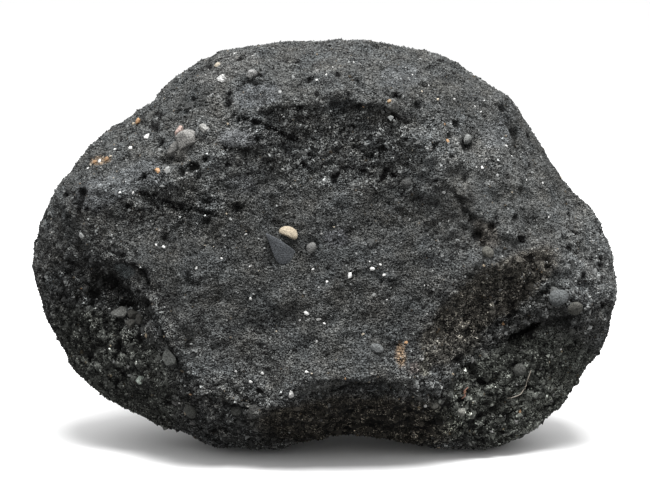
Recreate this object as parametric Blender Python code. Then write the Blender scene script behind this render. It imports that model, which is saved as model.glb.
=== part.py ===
"""A lava rock the size of a loaf of bread: a broad hollowed face, a brow above it and an undercut foot.

The stone starts as an ico sphere, and each vertex is moved to the stone's surface by stone_surface(), which
works in millimetres in the frame of the broad face: u to the right, v up the face, w out of it. The face leans
back a little, and the stone rests on a flat that is cut level with the ground. X runs along its longest side.
"""

import math

import bpy
import numpy as np

NAME = "lava_rock"
MILLIMETRE = 0.001
FACE_LEAN = math.radians(8.0)

# The waist is the stone's widest outline, seen square to the broad face: (degrees from the right, radius).
WAIST = (
    (0, 87.3), (8, 81.5), (15, 75.5), (25, 72.7), (40, 71.5), (50, 69.5), (62, 67.5),
    (75, 63.7), (88, 63.5), (100, 63.0), (110, 65.3), (125, 68.0), (138, 68.7), (147, 71.8),
    (155, 76.2), (165, 82.0), (175, 87.8), (185, 90.6), (195, 88.4), (208, 84.9),
    (220, 79.8), (231, 73.5), (245, 69.0), (258, 63.9), (270, 59.3), (280, 60.6),
    (292, 66.6), (302, 74.8), (311, 82.8), (322, 87.3), (333, 89.2), (342, 90.5), (351, 89.8),
)
FRONT_BULGE = 60.0  # how far the uncut front and back would reach out from the waist's plane
BACK_BULGE = 61.0
FRONT_BLUNTNESS = 2.6  # 2 is an ellipse, more is boxier
BACK_BLUNTNESS = 2.45

# The edge of the broad face: (degrees from the right, distance from the middle, how far out it stands there).
FACE_EDGE = (
    (0, 56, 32), (8, 45, 34.5), (22, 38.5, 39.5), (35, 37, 42.5), (50, 39, 44), (66, 43.5, 45), (80, 43.5, 46),
    (99, 42.5, 45), (114, 42, 43.5), (124, 41, 42), (142, 44, 38.5), (157, 52, 34), (164, 62, 30),
    (168, 72, 26), (174, 71, 26), (180, 61, 31), (186, 55, 35), (204, 54, 38), (223, 56, 37),
    (243, 56, 33), (260, 44, 39.5), (273, 42, 41), (287, 43, 41), (308, 49, 38), (325, 45, 37),
    (342, 59, 36.5), (351, 61, 35),
)
FACE_MIDDLE = 35.5
RIM_STEP = 9.0  # what is left of the face's depth where its slopes reach the waist
LEAST_DEPTH = 5.0
FALL_START = 0.7  # slope of the fall at the edge, against its mean slope
EDGE_ROUNDING = 2.5
WAIST_ROUNDING = 13.0

# Hollows in the broad face and its slopes: (place, half length, half width, turn in degrees, depth).
HOLLOWS = {
    "brow": ((6, 24), 40, 21, -8, 5),
    "left hollow": ((-68, -15), 17, 11, -18, 4),
    "left valley": ((-61, -21), 20, 8, -50, 5),
    "left cavity": ((-64, -12.5), 8, 5, -35, 2),
    "left flank": ((-69, -32), 30, 15, -52, 8),
    "heel pocket": ((-46, -50), 16, 7, -25, 6),
    "right hollow": ((51.5, -19.5), 21, 11, 34, 9),
    "ledge gap": ((64, -28), 16, 6, 6, 4),
    "lobe": ((60, -38), 26, 20, 0, 7),
    "bottom arch": ((20, -52.5), 27, 9.5, 0, 6),
}
# Flats broken off the back: (place, how far back they are there, slope along u, slope along v).
BACK_FLATS = {
    "middle": ((4, 4), 55, 0.10, -0.06),
    "top": ((0, 34), 44, -0.10, -1.25),
    "left": ((-46, 6), 45, 0.95, -0.25),
    "right": ((48, 12), 43, -0.85, -0.20),
    "low left": ((-26, -34), 46, 0.35, 0.95),
    "low right": ((34, -36), 44, -0.45, 0.80),
}
BACK_ROUNDING = 10.0
# The underside is arched between two feet: (place as u and w, half length, half width, rise).
UNDERSIDE_ARCH = ((10, -14), 27, 34, 4.5)
EYE_DISTANCE = 559.4  # from the waist's plane; places below are (u, v) as seen from there, on that plane
# Stones baked into the face, and pits where others fell out or gas stood: (place, radius, height or depth).
CLASTS = {
    "shoulder": ((-43.8, 32.1), 3.6, 2.0),
    "crest": ((20.4, 43.2), 3.0, 1.5),
    "lobe": ((72.3, -16.6), 3.1, 2.0),
    "lobe side": ((77.3, -19.7), 2.4, 1.2),
    "lobe low": ((60.3, -38.9), 2.4, 1.4),
    "hollow": ((50.5, -2.6), 2.4, 1.2),
    "flank": ((-63.7, -21.4), 2.4, 1.4),
    "heel": ((-41.7, -51.6), 2.8, 1.4),
}
PITS = {
    "shoulder": ((-40.3, 24.9), 2.6, 2.4),
    "shoulder low": ((-44.5, 22.0), 2.1, 1.8),
    "crest": ((21.5, 38.9), 2.3, 2.0),
    "right brow": ((46.6, 1.7), 2.7, 2.2),
    "right brow high": ((51.5, 5.6), 2.3, 1.8),
    "left cavity": ((-66.9, -11.9), 4.3, 2.6),
    "under the ledge": ((63.7, -27.7), 4.0, 2.8),
    "top right": ((55.3, 42.9), 2.2, 1.6),
}
# Scarps: (u, v) along the edge, whose left-hand side drops at once and comes back further off.
# (the line, how wide the drop is, how far off the surface has come back, depth)
SCARPS = {
    "left valley": (
        ((-35.8, -46.3), (-46.6, -33.6), (-53.1, -23.4), (-54.7, -19.4), (-64.9, -12.9), (-72.5, -4.2)),
        2.0, 13, 4.2,
    ),
    "cavity roof": (((-54.5, -12), (-56.5, -8.3), (-61, -6.3), (-66.5, -4.6)), 2.0, 6, 1.6),
    "ledge": (((74.5, -25.0), (66.3, -26.2), (60.7, -28.8), (56.5, -31.5)), 2.0, 7.5, 3.4),
}

EDGE_WANDER = 5.0  # how far the face's edge strays to either side
EDGE_WANDER_SIZE = 26.0
SWELL_HEIGHT = 3.0  # broad swells, which leave the waist as it is
SWELL_SIZE = 44.0
LUMP_HEIGHT = 1.9
LUMP_SIZE = 11.0
WAIST_REACH = 24.0  # how far from the waist's plane its outline still holds the swells back

# Where the stone stands: the middle of its box and the level of the ground, in the leaning frame.
BOX_MIDDLE_X = -0.48
BOX_MIDDLE_Y = 5.96
GROUND_LEVEL = -62.4

SPHERE_LEVELS = 7
KEPT_SHARE = 0.112  # of the sphere's triangles, after flat stretches are thinned out
BASE_COLOR = (0.055, 0.056, 0.055, 1.0)
ROUGHNESS = 0.95


def closed_curve(angle, knots, column):
    """The value in this column of the knots at each angle: a closed smooth curve through them."""
    table = np.array(knots, float)
    at = np.radians(np.concatenate([table[-2:, 0] - 360, table[:, 0], table[:2, 0] + 360]))
    value = np.concatenate([table[-2:, column], table[:, column], table[:2, column]])
    slope = np.zeros_like(value)
    slope[1:-1] = (value[2:] - value[:-2]) / (at[2:] - at[:-2])
    turn = np.mod(angle, 2 * np.pi)
    i = np.clip(np.searchsorted(at, turn, side="right") - 1, 1, len(at) - 3)
    gap = at[i + 1] - at[i]
    s = (turn - at[i]) / gap
    ends = value[i] * (1 + 2 * s) * (1 - s) ** 2 + value[i + 1] * s * s * (3 - 2 * s)
    bends = slope[i] * s * (1 - s) ** 2 + slope[i + 1] * s * s * (s - 1)
    return ends + bends * gap


def soft_min(a, b, rounding):
    """The lower of two surfaces, with the crease between them rounded."""
    share = np.clip(0.5 + 0.5 * (b - a) / rounding, 0, 1)
    return b + (a - b) * share - rounding * share * (1 - share)


def smooth_step(x):
    x = np.clip(x, 0, 1)
    return x * x * (3 - 2 * x)


def corner_hash(x, y, z, seed):
    """A well mixed number for each corner of a lattice."""
    mixed = x * np.uint32(73856093) ^ y * np.uint32(19349663) ^ z * np.uint32(83492791)
    mixed = mixed ^ np.uint32(seed * 2654435 + 977)
    mixed = (mixed ^ (mixed >> np.uint32(15))) * np.uint32(2246822519)
    mixed = (mixed ^ (mixed >> np.uint32(13))) * np.uint32(3266489917)
    return mixed ^ (mixed >> np.uint32(16))


def lattice_noise(points, size, seed):
    """Smooth noise from about -1 to 1: every corner of a lattice of this size has a slope of its own."""
    scaled = points / size + 1000.37
    cell = np.floor(scaled)
    inside = scaled - cell
    fade = inside ** 3 * (inside * (inside * 6 - 15) + 10)
    cell = cell.astype(np.uint32)
    total = np.zeros(len(points))
    for corner in np.ndindex(2, 2, 2):
        x, y, z = (cell + np.array(corner, np.uint32)).T
        mixed = corner_hash(x, y, z, seed)
        weight = np.prod(np.where(corner, fade, 1 - fade), axis=1)
        for axis, shift in enumerate((0, 10, 20)):
            slope = ((mixed >> np.uint32(shift)) & np.uint32(1023)) / 511.5 - 1.0
            total += weight * slope * (inside[:, axis] - corner[axis])
    return total * 1.4


def fractal_noise(points, size, octaves, seed, falloff=0.5):
    """Lattice noise with finer and weaker noise added, octave by octave."""
    return sum(falloff ** k * lattice_noise(points, size / 2 ** k, seed + 17 * k) for k in range(octaves))


def bowl(u, v, place, half_length, half_width, turn):
    """1 in the middle of an ellipse, falling smoothly to 0 somewhat outside it."""
    cosine = math.cos(math.radians(turn))
    sine = math.sin(math.radians(turn))
    x = u - place[0]
    y = v - place[1]
    squared = ((x * cosine + y * sine) / half_length) ** 2 + ((y * cosine - x * sine) / half_width) ** 2
    return np.clip(1 - squared / 1.8, 0, None) ** 1.6


def face_relief(u, v):
    """How far the face and the slopes round it stand out: a dish, and a fall from its edge to the waist."""
    angle = np.arctan2(v, u)
    radius = np.hypot(u, v)
    rim = closed_curve(angle, WAIST, 1)
    edge = closed_curve(angle, FACE_EDGE, 1)
    height = closed_curve(angle, FACE_EDGE, 2)
    dish = FACE_MIDDLE + (height - FACE_MIDDLE) * (radius / edge) ** 2
    beyond = (radius - edge) / (rim - edge)
    fall = height - (height - RIM_STEP) * (FALL_START * beyond + (1 - FALL_START) * beyond ** 3)
    relief = soft_min(dish, fall, EDGE_ROUNDING)
    inside = 1 - np.clip(radius / rim, 0, 1) ** 6
    for place, half_length, half_width, turn, depth in HOLLOWS.values():
        relief = relief - depth * inside * bowl(u, v, place, half_length, half_width, turn)
    return -soft_min(-relief, -LEAST_DEPTH, EDGE_ROUNDING)


def back_relief(u, v, uncut):
    """How far back the stone reaches: its uncut bulge, with the flats broken off it."""
    relief = uncut
    for (u0, v0), depth, along_u, along_v in BACK_FLATS.values():
        relief = soft_min(relief, depth + along_u * (u - u0) + along_v * (v - v0), BACK_ROUNDING)
    return relief


def line_distance(spots, line):
    """Signed distance of each spot from a line through some places, and how far along it that is, from 0 to 1.

    It counts as positive on the line's left-hand side.
    """
    line = np.array(line, float)
    least = np.full(len(spots), np.inf)
    signed = least.copy()
    along_line = np.zeros(len(spots))
    for number, (start, end) in enumerate(zip(line[:-1], line[1:])):
        along = end - start
        share = np.clip((spots - start) @ along / (along @ along), 0, 1)
        away = spots - start - share[:, None] * along
        distance = np.linalg.norm(away, axis=1)
        nearer = distance < least
        side = np.where(along[0] * away[:, 1] - along[1] * away[:, 0] > 0, 1.0, -1.0)
        least = np.where(nearer, distance, least)
        signed = np.where(nearer, side * distance, signed)
        along_line = np.where(nearer, (number + share) / (len(line) - 1), along_line)
    return signed, along_line


def scarp_drop(signed, along, width, reach):
    """1 just past a scarp's edge and 0 before it, falling smoothly to 0 at its reach and towards its ends."""
    ends = smooth_step(along * 5) * smooth_step((1 - along) * 5)
    return smooth_step(signed / width) * (1 - smooth_step(signed / reach)) * ends


def clasts_pits_and_scarps(u, v):
    """The height that single stones, pits and scarps add to the face, at places as the eye sees them."""
    height = np.zeros_like(u)
    for place, radius, rise in CLASTS.values():
        height += rise * bowl(u, v, place, radius, radius, 0)
    for place, radius, drop in PITS.values():
        height -= drop * bowl(u, v, place, radius, radius, 0)
    dropped = np.zeros_like(u)
    for line, width, reach, depth in SCARPS.values():
        signed, along = line_distance(np.stack([u, v], axis=1), line)
        dropped = np.maximum(dropped, depth * scarp_drop(signed, along, width, reach))
    return height - dropped


def swells(points):
    return SWELL_HEIGHT * fractal_noise(points, SWELL_SIZE, 3, 5)


def stone_surface(directions):
    """The stone's surface point in each direction from its middle, in millimetres in the face's frame."""
    along_u, along_v, out = directions.T
    angle = np.arctan2(along_v, along_u)
    rim = closed_curve(angle, WAIST, 1)
    front = out > 0
    bulge = np.where(front, FRONT_BULGE, BACK_BULGE)
    power = np.where(front, FRONT_BLUNTNESS, BACK_BLUNTNESS)
    across = (np.hypot(along_u, along_v) / rim) ** power
    reach = (across + (np.abs(out) / bulge) ** power) ** (-1 / power)
    u, v, w = (directions * reach[:, None]).T
    uncut = np.stack([u, v, w], axis=1)

    wander = EDGE_WANDER * (1 - np.clip(np.hypot(u, v) / rim, 0, 1) ** 4)
    stray_u = fractal_noise(uncut, EDGE_WANDER_SIZE, 3, 1) * wander
    stray_v = fractal_noise(uncut, EDGE_WANDER_SIZE, 3, 2) * wander
    face = soft_min(w, face_relief(u + stray_u, v + stray_v), WAIST_ROUNDING)
    back = -back_relief(u + stray_u, v + stray_v, -w)
    cut = np.stack([u, v, np.where(front, face, back)], axis=1)

    outward = cut / np.array([90.0, 64.0, 50.0]) ** 2
    outward /= np.linalg.norm(outward, axis=1)[:, None]
    waist = np.stack([rim * np.cos(angle), rim * np.sin(angle), np.zeros_like(rim)], axis=1)
    near_waist = 1 - smooth_step(np.abs(cut[:, 2]) / WAIST_REACH)
    height = swells(cut) - swells(waist) * near_waist
    height += fractal_noise(cut, LUMP_SIZE, 3, 9, 0.6) * LUMP_HEIGHT * (1 - 0.6 * near_waist)
    nearer = EYE_DISTANCE / (EYE_DISTANCE - cut[:, 2])
    height += clasts_pits_and_scarps(u * nearer, v * nearer) * front * (1 - near_waist)
    place, half_length, half_width, rise = UNDERSIDE_ARCH
    height -= rise * bowl(u, w, place, half_length, half_width, 0) * smooth_step(-v / 40)
    return cut + outward * height[:, None]


def stood_up(points):
    """The points in metres, with the face leaning back and the ground at zero."""
    u, v, w = points.T
    x = u - BOX_MIDDLE_X
    y = v * math.sin(FACE_LEAN) - w * math.cos(FACE_LEAN) - BOX_MIDDLE_Y
    z = v * math.cos(FACE_LEAN) + w * math.sin(FACE_LEAN) - GROUND_LEVEL
    return np.stack([x, y, z], axis=1) * MILLIMETRE


def clear_scene():
    for obj in list(bpy.data.objects):
        bpy.data.objects.remove(obj, do_unlink=True)


def new_collection(name):
    collection = bpy.data.collections.new(name)
    bpy.context.scene.collection.children.link(collection)
    return collection


def move_to(obj, collection):
    for other in list(obj.users_collection):
        other.objects.unlink(obj)
    collection.objects.link(obj)


def stone_material():
    material = bpy.data.materials.new("lava")
    material.use_nodes = True
    shader = material.node_tree.nodes["Principled BSDF"]
    shader.inputs["Base Color"].default_value = BASE_COLOR
    shader.inputs["Roughness"].default_value = ROUGHNESS
    shader.inputs["Metallic"].default_value = 0.0
    return material


def make_ground_cutter(collection):
    """A block whose top is the ground: what reaches below it is taken off the stone."""
    bpy.ops.mesh.primitive_cube_add(size=1.0, location=(0, 0, -0.05))
    cutter = bpy.context.object
    cutter.name = "ground_cutter"
    cutter.scale = (0.4, 0.4, 0.1)
    cutter.hide_render = True
    cutter.display_type = "WIRE"
    move_to(cutter, collection)
    return cutter


def make_stone(collection, cutter):
    bpy.ops.mesh.primitive_ico_sphere_add(subdivisions=SPHERE_LEVELS, radius=1.0)
    stone = bpy.context.object
    stone.name = NAME
    stone.data.name = NAME
    move_to(stone, collection)
    directions = np.empty(len(stone.data.vertices) * 3)
    stone.data.vertices.foreach_get("co", directions)
    directions = directions.reshape(-1, 3)
    directions /= np.linalg.norm(directions, axis=1)[:, None]
    stone.data.vertices.foreach_set("co", stood_up(stone_surface(directions)).ravel())
    stone.data.update()
    stone.data.materials.append(stone_material())

    thin_out = stone.modifiers.new("thin_out", "DECIMATE")
    thin_out.decimate_type = "COLLAPSE"
    thin_out.ratio = KEPT_SHARE
    thin_out.use_collapse_triangulate = True
    rest_flat = stone.modifiers.new("rest_flat", "BOOLEAN")
    rest_flat.operation = "DIFFERENCE"
    rest_flat.solver = "EXACT"
    rest_flat.object = cutter
    return stone


def main():
    clear_scene()
    cutter = make_ground_cutter(new_collection("cutters"))
    make_stone(new_collection(NAME), cutter)


main()
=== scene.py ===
"""A lava rock: one dark stone with gas pits, gravel, pale crystals and a few pebbles, on a pale floor.

Shapes are worked out in millimetres in the frame of the stone's broad face: u to the right, v up the face and
w out of it. The face leans back a little. Pieces are turned upright and written in metres at the end.
"""

import math

import bpy
import numpy as np
from bpy.props import FloatProperty, FloatVectorProperty, IntProperty, PointerProperty
from bpy.types import Operator, Panel, PropertyGroup
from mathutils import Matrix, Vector


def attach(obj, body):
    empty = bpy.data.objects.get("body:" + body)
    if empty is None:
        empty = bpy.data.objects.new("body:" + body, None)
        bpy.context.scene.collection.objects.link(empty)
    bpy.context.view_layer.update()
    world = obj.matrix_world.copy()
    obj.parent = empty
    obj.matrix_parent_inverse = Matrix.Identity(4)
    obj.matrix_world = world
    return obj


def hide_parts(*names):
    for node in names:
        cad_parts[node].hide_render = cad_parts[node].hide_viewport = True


bl_info = {
    "name": "Lava rock",
    "version": (1, 0, 0),
    "blender": (4, 5, 0),
    "location": "3D View > Sidebar > Lava rock",
    "description": "Builds a pitted lava rock with its sand, gravel, crystals and pebbles, and a stage",
    "category": "Add Mesh",
}

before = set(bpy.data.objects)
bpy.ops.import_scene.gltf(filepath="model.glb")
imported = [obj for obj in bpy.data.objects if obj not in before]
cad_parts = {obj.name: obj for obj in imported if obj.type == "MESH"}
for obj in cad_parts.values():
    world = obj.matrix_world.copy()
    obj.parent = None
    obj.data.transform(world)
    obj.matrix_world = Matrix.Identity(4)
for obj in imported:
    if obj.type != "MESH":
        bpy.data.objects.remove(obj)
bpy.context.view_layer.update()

MILLIMETRE = 0.001
FACE_LEAN = math.radians(8.0)
STONE = "weathered_stone"

# ------------------------------------------------------------------ the stone's form, in millimetres

# The waist is the stone's widest outline, seen square to the broad face: (degrees from the right, radius).
WAIST = (
    (0, 87.3), (8, 81.5), (15, 75.5), (25, 73.0), (31, 72.9), (40, 71.8), (50, 69.3), (62, 67.5),
    (75, 63.7), (88, 63.5), (100, 63.0), (110, 65.3), (125, 68.0), (138, 68.7), (147, 71.4),
    (155, 75.6), (165, 82.0), (175, 87.4), (185, 90.6), (195, 88.5), (208, 85.8),
    (220, 79.8), (231, 73.5), (245, 69.0), (258, 63.9), (270, 59.3), (280, 60.6),
    (292, 66.6), (302, 74.8), (311, 82.8), (322, 87.3), (333, 89.4), (342, 91.1), (351, 89.8),
)
FRONT_BULGE = 60.0  # how far the uncut front and back would reach out from the waist's plane
BACK_BULGE = 61.0
FRONT_BLUNTNESS = 2.6  # 2 is an ellipse, more is boxier
BACK_BLUNTNESS = 2.45

# The edge of the broad face: (degrees from the right, distance from the middle, how far out it stands there).
FACE_EDGE = (
    (0, 56, 32), (8, 45, 34.5), (22, 38.5, 39.5), (35, 37, 42.5), (50, 39, 44), (66, 43.5, 45),
    (80, 43.5, 46), (99, 42.5, 45), (114, 42, 43.5), (124, 41, 42), (142, 44, 38.5), (157, 52, 34),
    (164, 62, 30), (168, 72, 26), (174, 71, 26), (180, 61, 31), (186, 55, 35), (204, 54, 38), (223, 56, 37),
    (243, 56, 33), (260, 44, 39.5), (273, 42, 41), (287, 43, 41), (308, 49, 38), (325, 45, 37),
    (342, 59, 36.5), (351, 61, 35),
)
FACE_MIDDLE = 35.5
RIM_STEP = 9.0  # what is left of the face's depth where its slopes reach the waist
LEAST_DEPTH = 5.0
FALL_START = 0.7  # slope of the fall at the edge, against its mean slope
EDGE_ROUNDING = 2.5
WAIST_ROUNDING = 13.0

# Hollows in the broad face and its slopes: (place, half length, half width, turn in degrees, depth).
HOLLOWS = {
    "brow": ((6, 24), 40, 21, -8, 5),
    "left hollow": ((-68, -15), 17, 11, -18, 4),
    "left valley": ((-61, -21), 20, 8, -50, 5),
    "left cavity": ((-64, -12.5), 8, 5, -35, 2),
    "left flank": ((-69, -32), 30, 15, -52, 8),
    "heel pocket": ((-46, -50), 16, 7, -25, 6),
    "right hollow": ((51.5, -19.5), 21, 11, 34, 9),
    "ledge gap": ((64, -28), 16, 6, 6, 4),
    "lobe": ((60, -38), 26, 20, 0, 7),
    "bottom arch": ((20, -52.5), 27, 9.5, 0, 6),
}
# Flats broken off the back: (place, how far back they are there, slope along u, slope along v).
BACK_FLATS = {
    "middle": ((4, 4), 55, 0.10, -0.06),
    "top": ((0, 34), 44, -0.10, -1.25),
    "left": ((-46, 6), 45, 0.95, -0.25),
    "right": ((48, 12), 43, -0.85, -0.20),
    "low left": ((-26, -34), 46, 0.35, 0.95),
    "low right": ((34, -36), 44, -0.45, 0.80),
}
BACK_ROUNDING = 10.0
# The underside is arched between two feet: (place as u and w, half length, half width, rise).
UNDERSIDE_ARCH = ((10, -14), 27, 34, 4.5)

EDGE_WANDER = 5.0  # how far the face's edge strays to either side
EDGE_WANDER_SIZE = 26.0
SWELL_HEIGHT = 3.0  # broad swells, which leave the waist as it is
SWELL_SIZE = 44.0
LUMP_HEIGHT = 1.9
LUMP_SIZE = 11.0
WAIST_REACH = 24.0  # how far from the waist's plane its outline still holds the swells back
OUTWARD_SHAPE = np.array([90.0, 64.0, 50.0])  # the ellipsoid whose normals the swells are raised along

# Where the stone stands: the middle of its box and the level of the ground, in the leaning frame.
BOX_MIDDLE_X = -0.48
BOX_MIDDLE_Y = 5.96
GROUND_LEVEL = -62.4

# ------------------------------------------------------------------ the stone's detail, in millimetres

EYE_DISTANCE = 559.4  # from the waist's plane; places below are (u, v) as seen from there, on that plane

# What changes from place to place: (place, half length, half width, turn, crumbs, pits, tone, contrast).
# The last four are added to the plain stone's.
# The tone and the contrast are partly the stone's own and partly painted light and shade: the tone lightens
# or darkens each place for the light that falls there, and a higher contrast paints light and shade on the
# crumbs in shaded hollows.
PLAIN = (1.0, 1.0, 1.0, 0.88)
ZONES = {
    # the lap and the middle
    "lap": ((-5, -10), 48, 26, 0, -0.5, -0.8, -0.2, 0.1),
    "low lap": ((-4, -34), 44, 16, 0, -0.45, -0.5, 0.02, 0.1),
    "lap left": ((-46, -19), 11, 9, -30, 0, -0.6, -0.18, 0),
    "centre left": ((-32, -4), 26, 14, 0, 0, -0.5, -0.15, 0),
    # the brow and the crest
    "brow": ((8, 30), 46, 13, -4, 0.1, 0.2, 0.84, 1),
    "right brow": ((36, 26), 18, 11, -50, -0.1, 0.1, 0.18, -0.5),
    "top band": ((5, 54), 55, 10, 0, -0.2, 0.1, 0.2, -0.15),
    "left crest": ((-26, 48), 13, 9, 20, -0.1, 0, 0.12, 0),
    # the left side
    "left shoulder": ((-56, 27), 28, 17, 30, -0.2, -0.15, 0.34, -0.15),
    "shoulder facet": ((-34, 24), 16, 8, 35, -0.1, 0, 0.5, 0),
    # painted light: much lighter where light falls on this facet
    "bluish shoulder": ((-28, 32.5), 8, 4, 0, -0.3, -0.4, 0.7, -0.2),
    "left wall": ((-46, 12), 24, 9, 0, 0, 0.3, 0.09, 0.65),
    "left hollow": ((-64, -17), 20, 10, -48, 0.2, 0.1, -0.05, 1.8),
    "left flank": ((-66, -38), 36, 18, -48, 0.45, 0.1, -0.12, 1),
    "flank edge": ((-50, -31), 16, 7, -50, 0, -0.6, 0.35, 0),
    # the right side
    "right shoulder": ((57, 21), 24, 30, -20, -0.4, -0.35, 0.32, -0.32),
    "right rim": ((82, -6), 15, 19, 0, 0.1, 0.1, 1.2, -0.1),
    "rim pebbles": ((79, -18), 9, 6, 0, 0.1, 0.1, -0.55, 0.4),
    "right hollow": ((50, -20), 20, 10, 34, 0.4, 0.1, 0.08, 1.8),
    "lobe": ((55, -46), 36, 22, 12, 0.45, 0.15, 0.58, 0.8),
    # the foot
    "foot": ((5, -58), 60, 10, 0, 0.3, 0.1, -0.15, 1.5),
    "heel": ((-28, -48), 20, 8, -10, 0.2, 0.1, 0.85, 0.5),
    "right lip": ((32, -47), 12, 6, 0, 0.2, 0, 1.3, 0.3),
}
# Places where only the tone and the contrast change: (place, half length, half width, turn, tone, contrast).
# They are partly the stone's own tone and partly painted light and shade: lighter where light falls, darker
# in hollows, under ledges and under the stone.
TONES_AND_PAINTED_LIGHT = {
    # the brow and the crest
    "brow foot": ((-1, 22.5), 15, 3.5, 0, -0.16, 0),
    "crest brow": ((-2, 46), 14, 5, 0, 0.34, 0),
    "crest bluish": ((-28, 46), 7, 5, 0, 0.22, 0),
    "crest gap": ((-37, 45), 6, 5, 0, -0.15, 0),
    "right shoulder top": ((35, 38), 9, 8, 0, 0.14, 0),
    # the left shoulder and wall
    "above the clast": ((-43, 38), 7, 4, 0, -0.2, 0),
    "beside the clast": ((-40, 29.5), 6, 3.5, 20, 0.36, -0.2),
    "wall top": ((-20, 22.5), 9, 6, 0, 0.65, -0.2),
    "wall low": ((-48, 3), 8, 6, 0, -0.2, 0),
    "wall end": ((-28, 6.5), 6, 4, 0, -0.16, 0),
    # the left hollow and flank
    "hollow shadow": ((-62.5, -15), 11, 3, -38, -0.3, 0),
    "beside the hollow": ((-51, -13), 6, 9, 0, -0.25, 0),
    "flank clasts": ((-65, -25), 9, 6, -20, 0.75, 0),
    "left rim": ((-82, -20), 9, 26, 8, -0.36, 0.4),
    "rim low": ((-80, -17), 5, 7, 0, -0.2, 0),
    "toe top": ((-42, -47), 6, 4, 0, -0.3, 0),
    "left toe": ((-42, -55), 10, 5, -20, 0.45, 0),
    # the lap and the undercut
    "lap dip": ((-16, -24), 9, 6, 0, 0.34, 0),
    "lap right": ((11, -31.5), 7, 5, 0, -0.2, 0),
    "lap foot": ((-27, -43), 9, 7, 0, 0.28, 0),
    "lip end": ((-6.5, -46.5), 8, 3.5, 31, 0.5, 0),
    # painted shade on the underside, which faces down
    "undercut": ((15, -54), 30, 8, 0, -0.28, 1.2),
    # the right side
    "right edge": ((72, 27), 26, 7, -54, -0.38, 0),
    "right shoulder edge": ((61, 30), 10, 5, -45, -0.12, 0),
    "hollow floor": ((47, -25), 17, 6, 10, 0.75, 0),
    # painted shadow under the ledge
    "below the ledge": ((58, -32.5), 8, 4, 20, -0.5, 0),
    "lobe fold": ((37, -37), 6, 6, 0, -0.34, 0),
    "lobe middle": ((58, -37.5), 9, 7, 0, -0.5, 0),
    "lobe outer": ((70, -52), 20, 9, 30, 0.5, 0),
    "lobe foot": ((42, -53), 10, 9, 0, 0.5, 0),
    "lobe low": ((59, -53), 17, 8, 15, 0.16, -0.35),
}
# Patches of another colour: (place, half length, half width, turn, colour, strength, how far it smooths).
# The bluish patches on the crest, top and shoulders are partly their own colour and partly painted light,
# lighter where light falls on them.
PATCHES = {
    "bluish shoulder": ((-27.4, 32.6), 5.8, 3.0, -6, (0.088, 0.091, 0.094), 0.85, 0.9),
    "bluish crest": ((-21.5, 46.3), 8, 4, 10, (0.092, 0.098, 0.104), 0.5, 0.2),
    "pale wall": ((-25.5, 18.5), 4, 3, 0, (0.115, 0.120, 0.125), 0.45, 0.1),
    "pale centre": ((3.5, 2.0), 4, 3, 0, (0.105, 0.105, 0.115), 0.4, 0.1),
    "bluish facet": ((-62.8, -9.2), 3.2, 1.7, -25, (0.078, 0.088, 0.090), 0.9, 1.0),
    "bluish shoulder low": ((-70, 16), 9, 5, 20, (0.090, 0.096, 0.101), 0.6, 0.1),
    "bluish shoulder tip": ((-60, 20), 12, 5, 20, (0.090, 0.096, 0.100), 0.5, 0.0),
    "rust stain": ((23.4, -34.2), 1.6, 3.9, 5, (0.20, 0.135, 0.082), 0.75, 0.2),
    "maroon crumbs": ((27.7, -38.6), 2.8, 2.4, 0, (0.085, 0.067, 0.060), 0.55, 0.0),
    "cream crumbs": ((31.6, -37.0), 1.9, 4.8, 0, (0.135, 0.130, 0.108), 0.65, 0.1),
    "brown crumbs": ((39, -30), 10, 7, 20, (0.088, 0.080, 0.066), 0.55, 0.0),
    "bluish top right": ((23.4, 52.2), 6, 4, 0, (0.100, 0.106, 0.110), 0.5, 0.2),
    "bluish rim": ((52.8, 33.9), 5, 4, 0, (0.100, 0.106, 0.110), 0.5, 0.2),
    "orange streak": ((-69.4, 26.0), 3.4, 1.2, 12, (0.27, 0.19, 0.12), 0.5, 0.2),
    "warm hollow": ((52, -16), 24, 8, 36, (0.086, 0.076, 0.060), 0.6, 0.0),
    # partly the underside's own brown and partly painted shade on it
    "brown undercut": ((12, -56), 34, 8, 0, (0.052, 0.044, 0.032), 0.75, 0.0),
    "brown pits": ((50, 3), 5, 3.5, -40, (0.060, 0.050, 0.040), 0.5, 0.0),
    # partly a paler colour and partly painted light on the top
    "lighter top": ((-31, 55), 10, 4, 20, (0.125, 0.125, 0.121), 0.45, 0.0),
    "pale scab": ((-45, 27.6), 3.2, 2.4, 40, (0.15, 0.145, 0.135), 0.6, 0.3),
    "olive lobe": ((62, -46), 26, 17, 20, (0.076, 0.081, 0.068), 0.6, 0.0),
    "olive flank": ((-66, -40), 26, 13, -48, (0.075, 0.079, 0.068), 0.6, 0.0),
}
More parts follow.
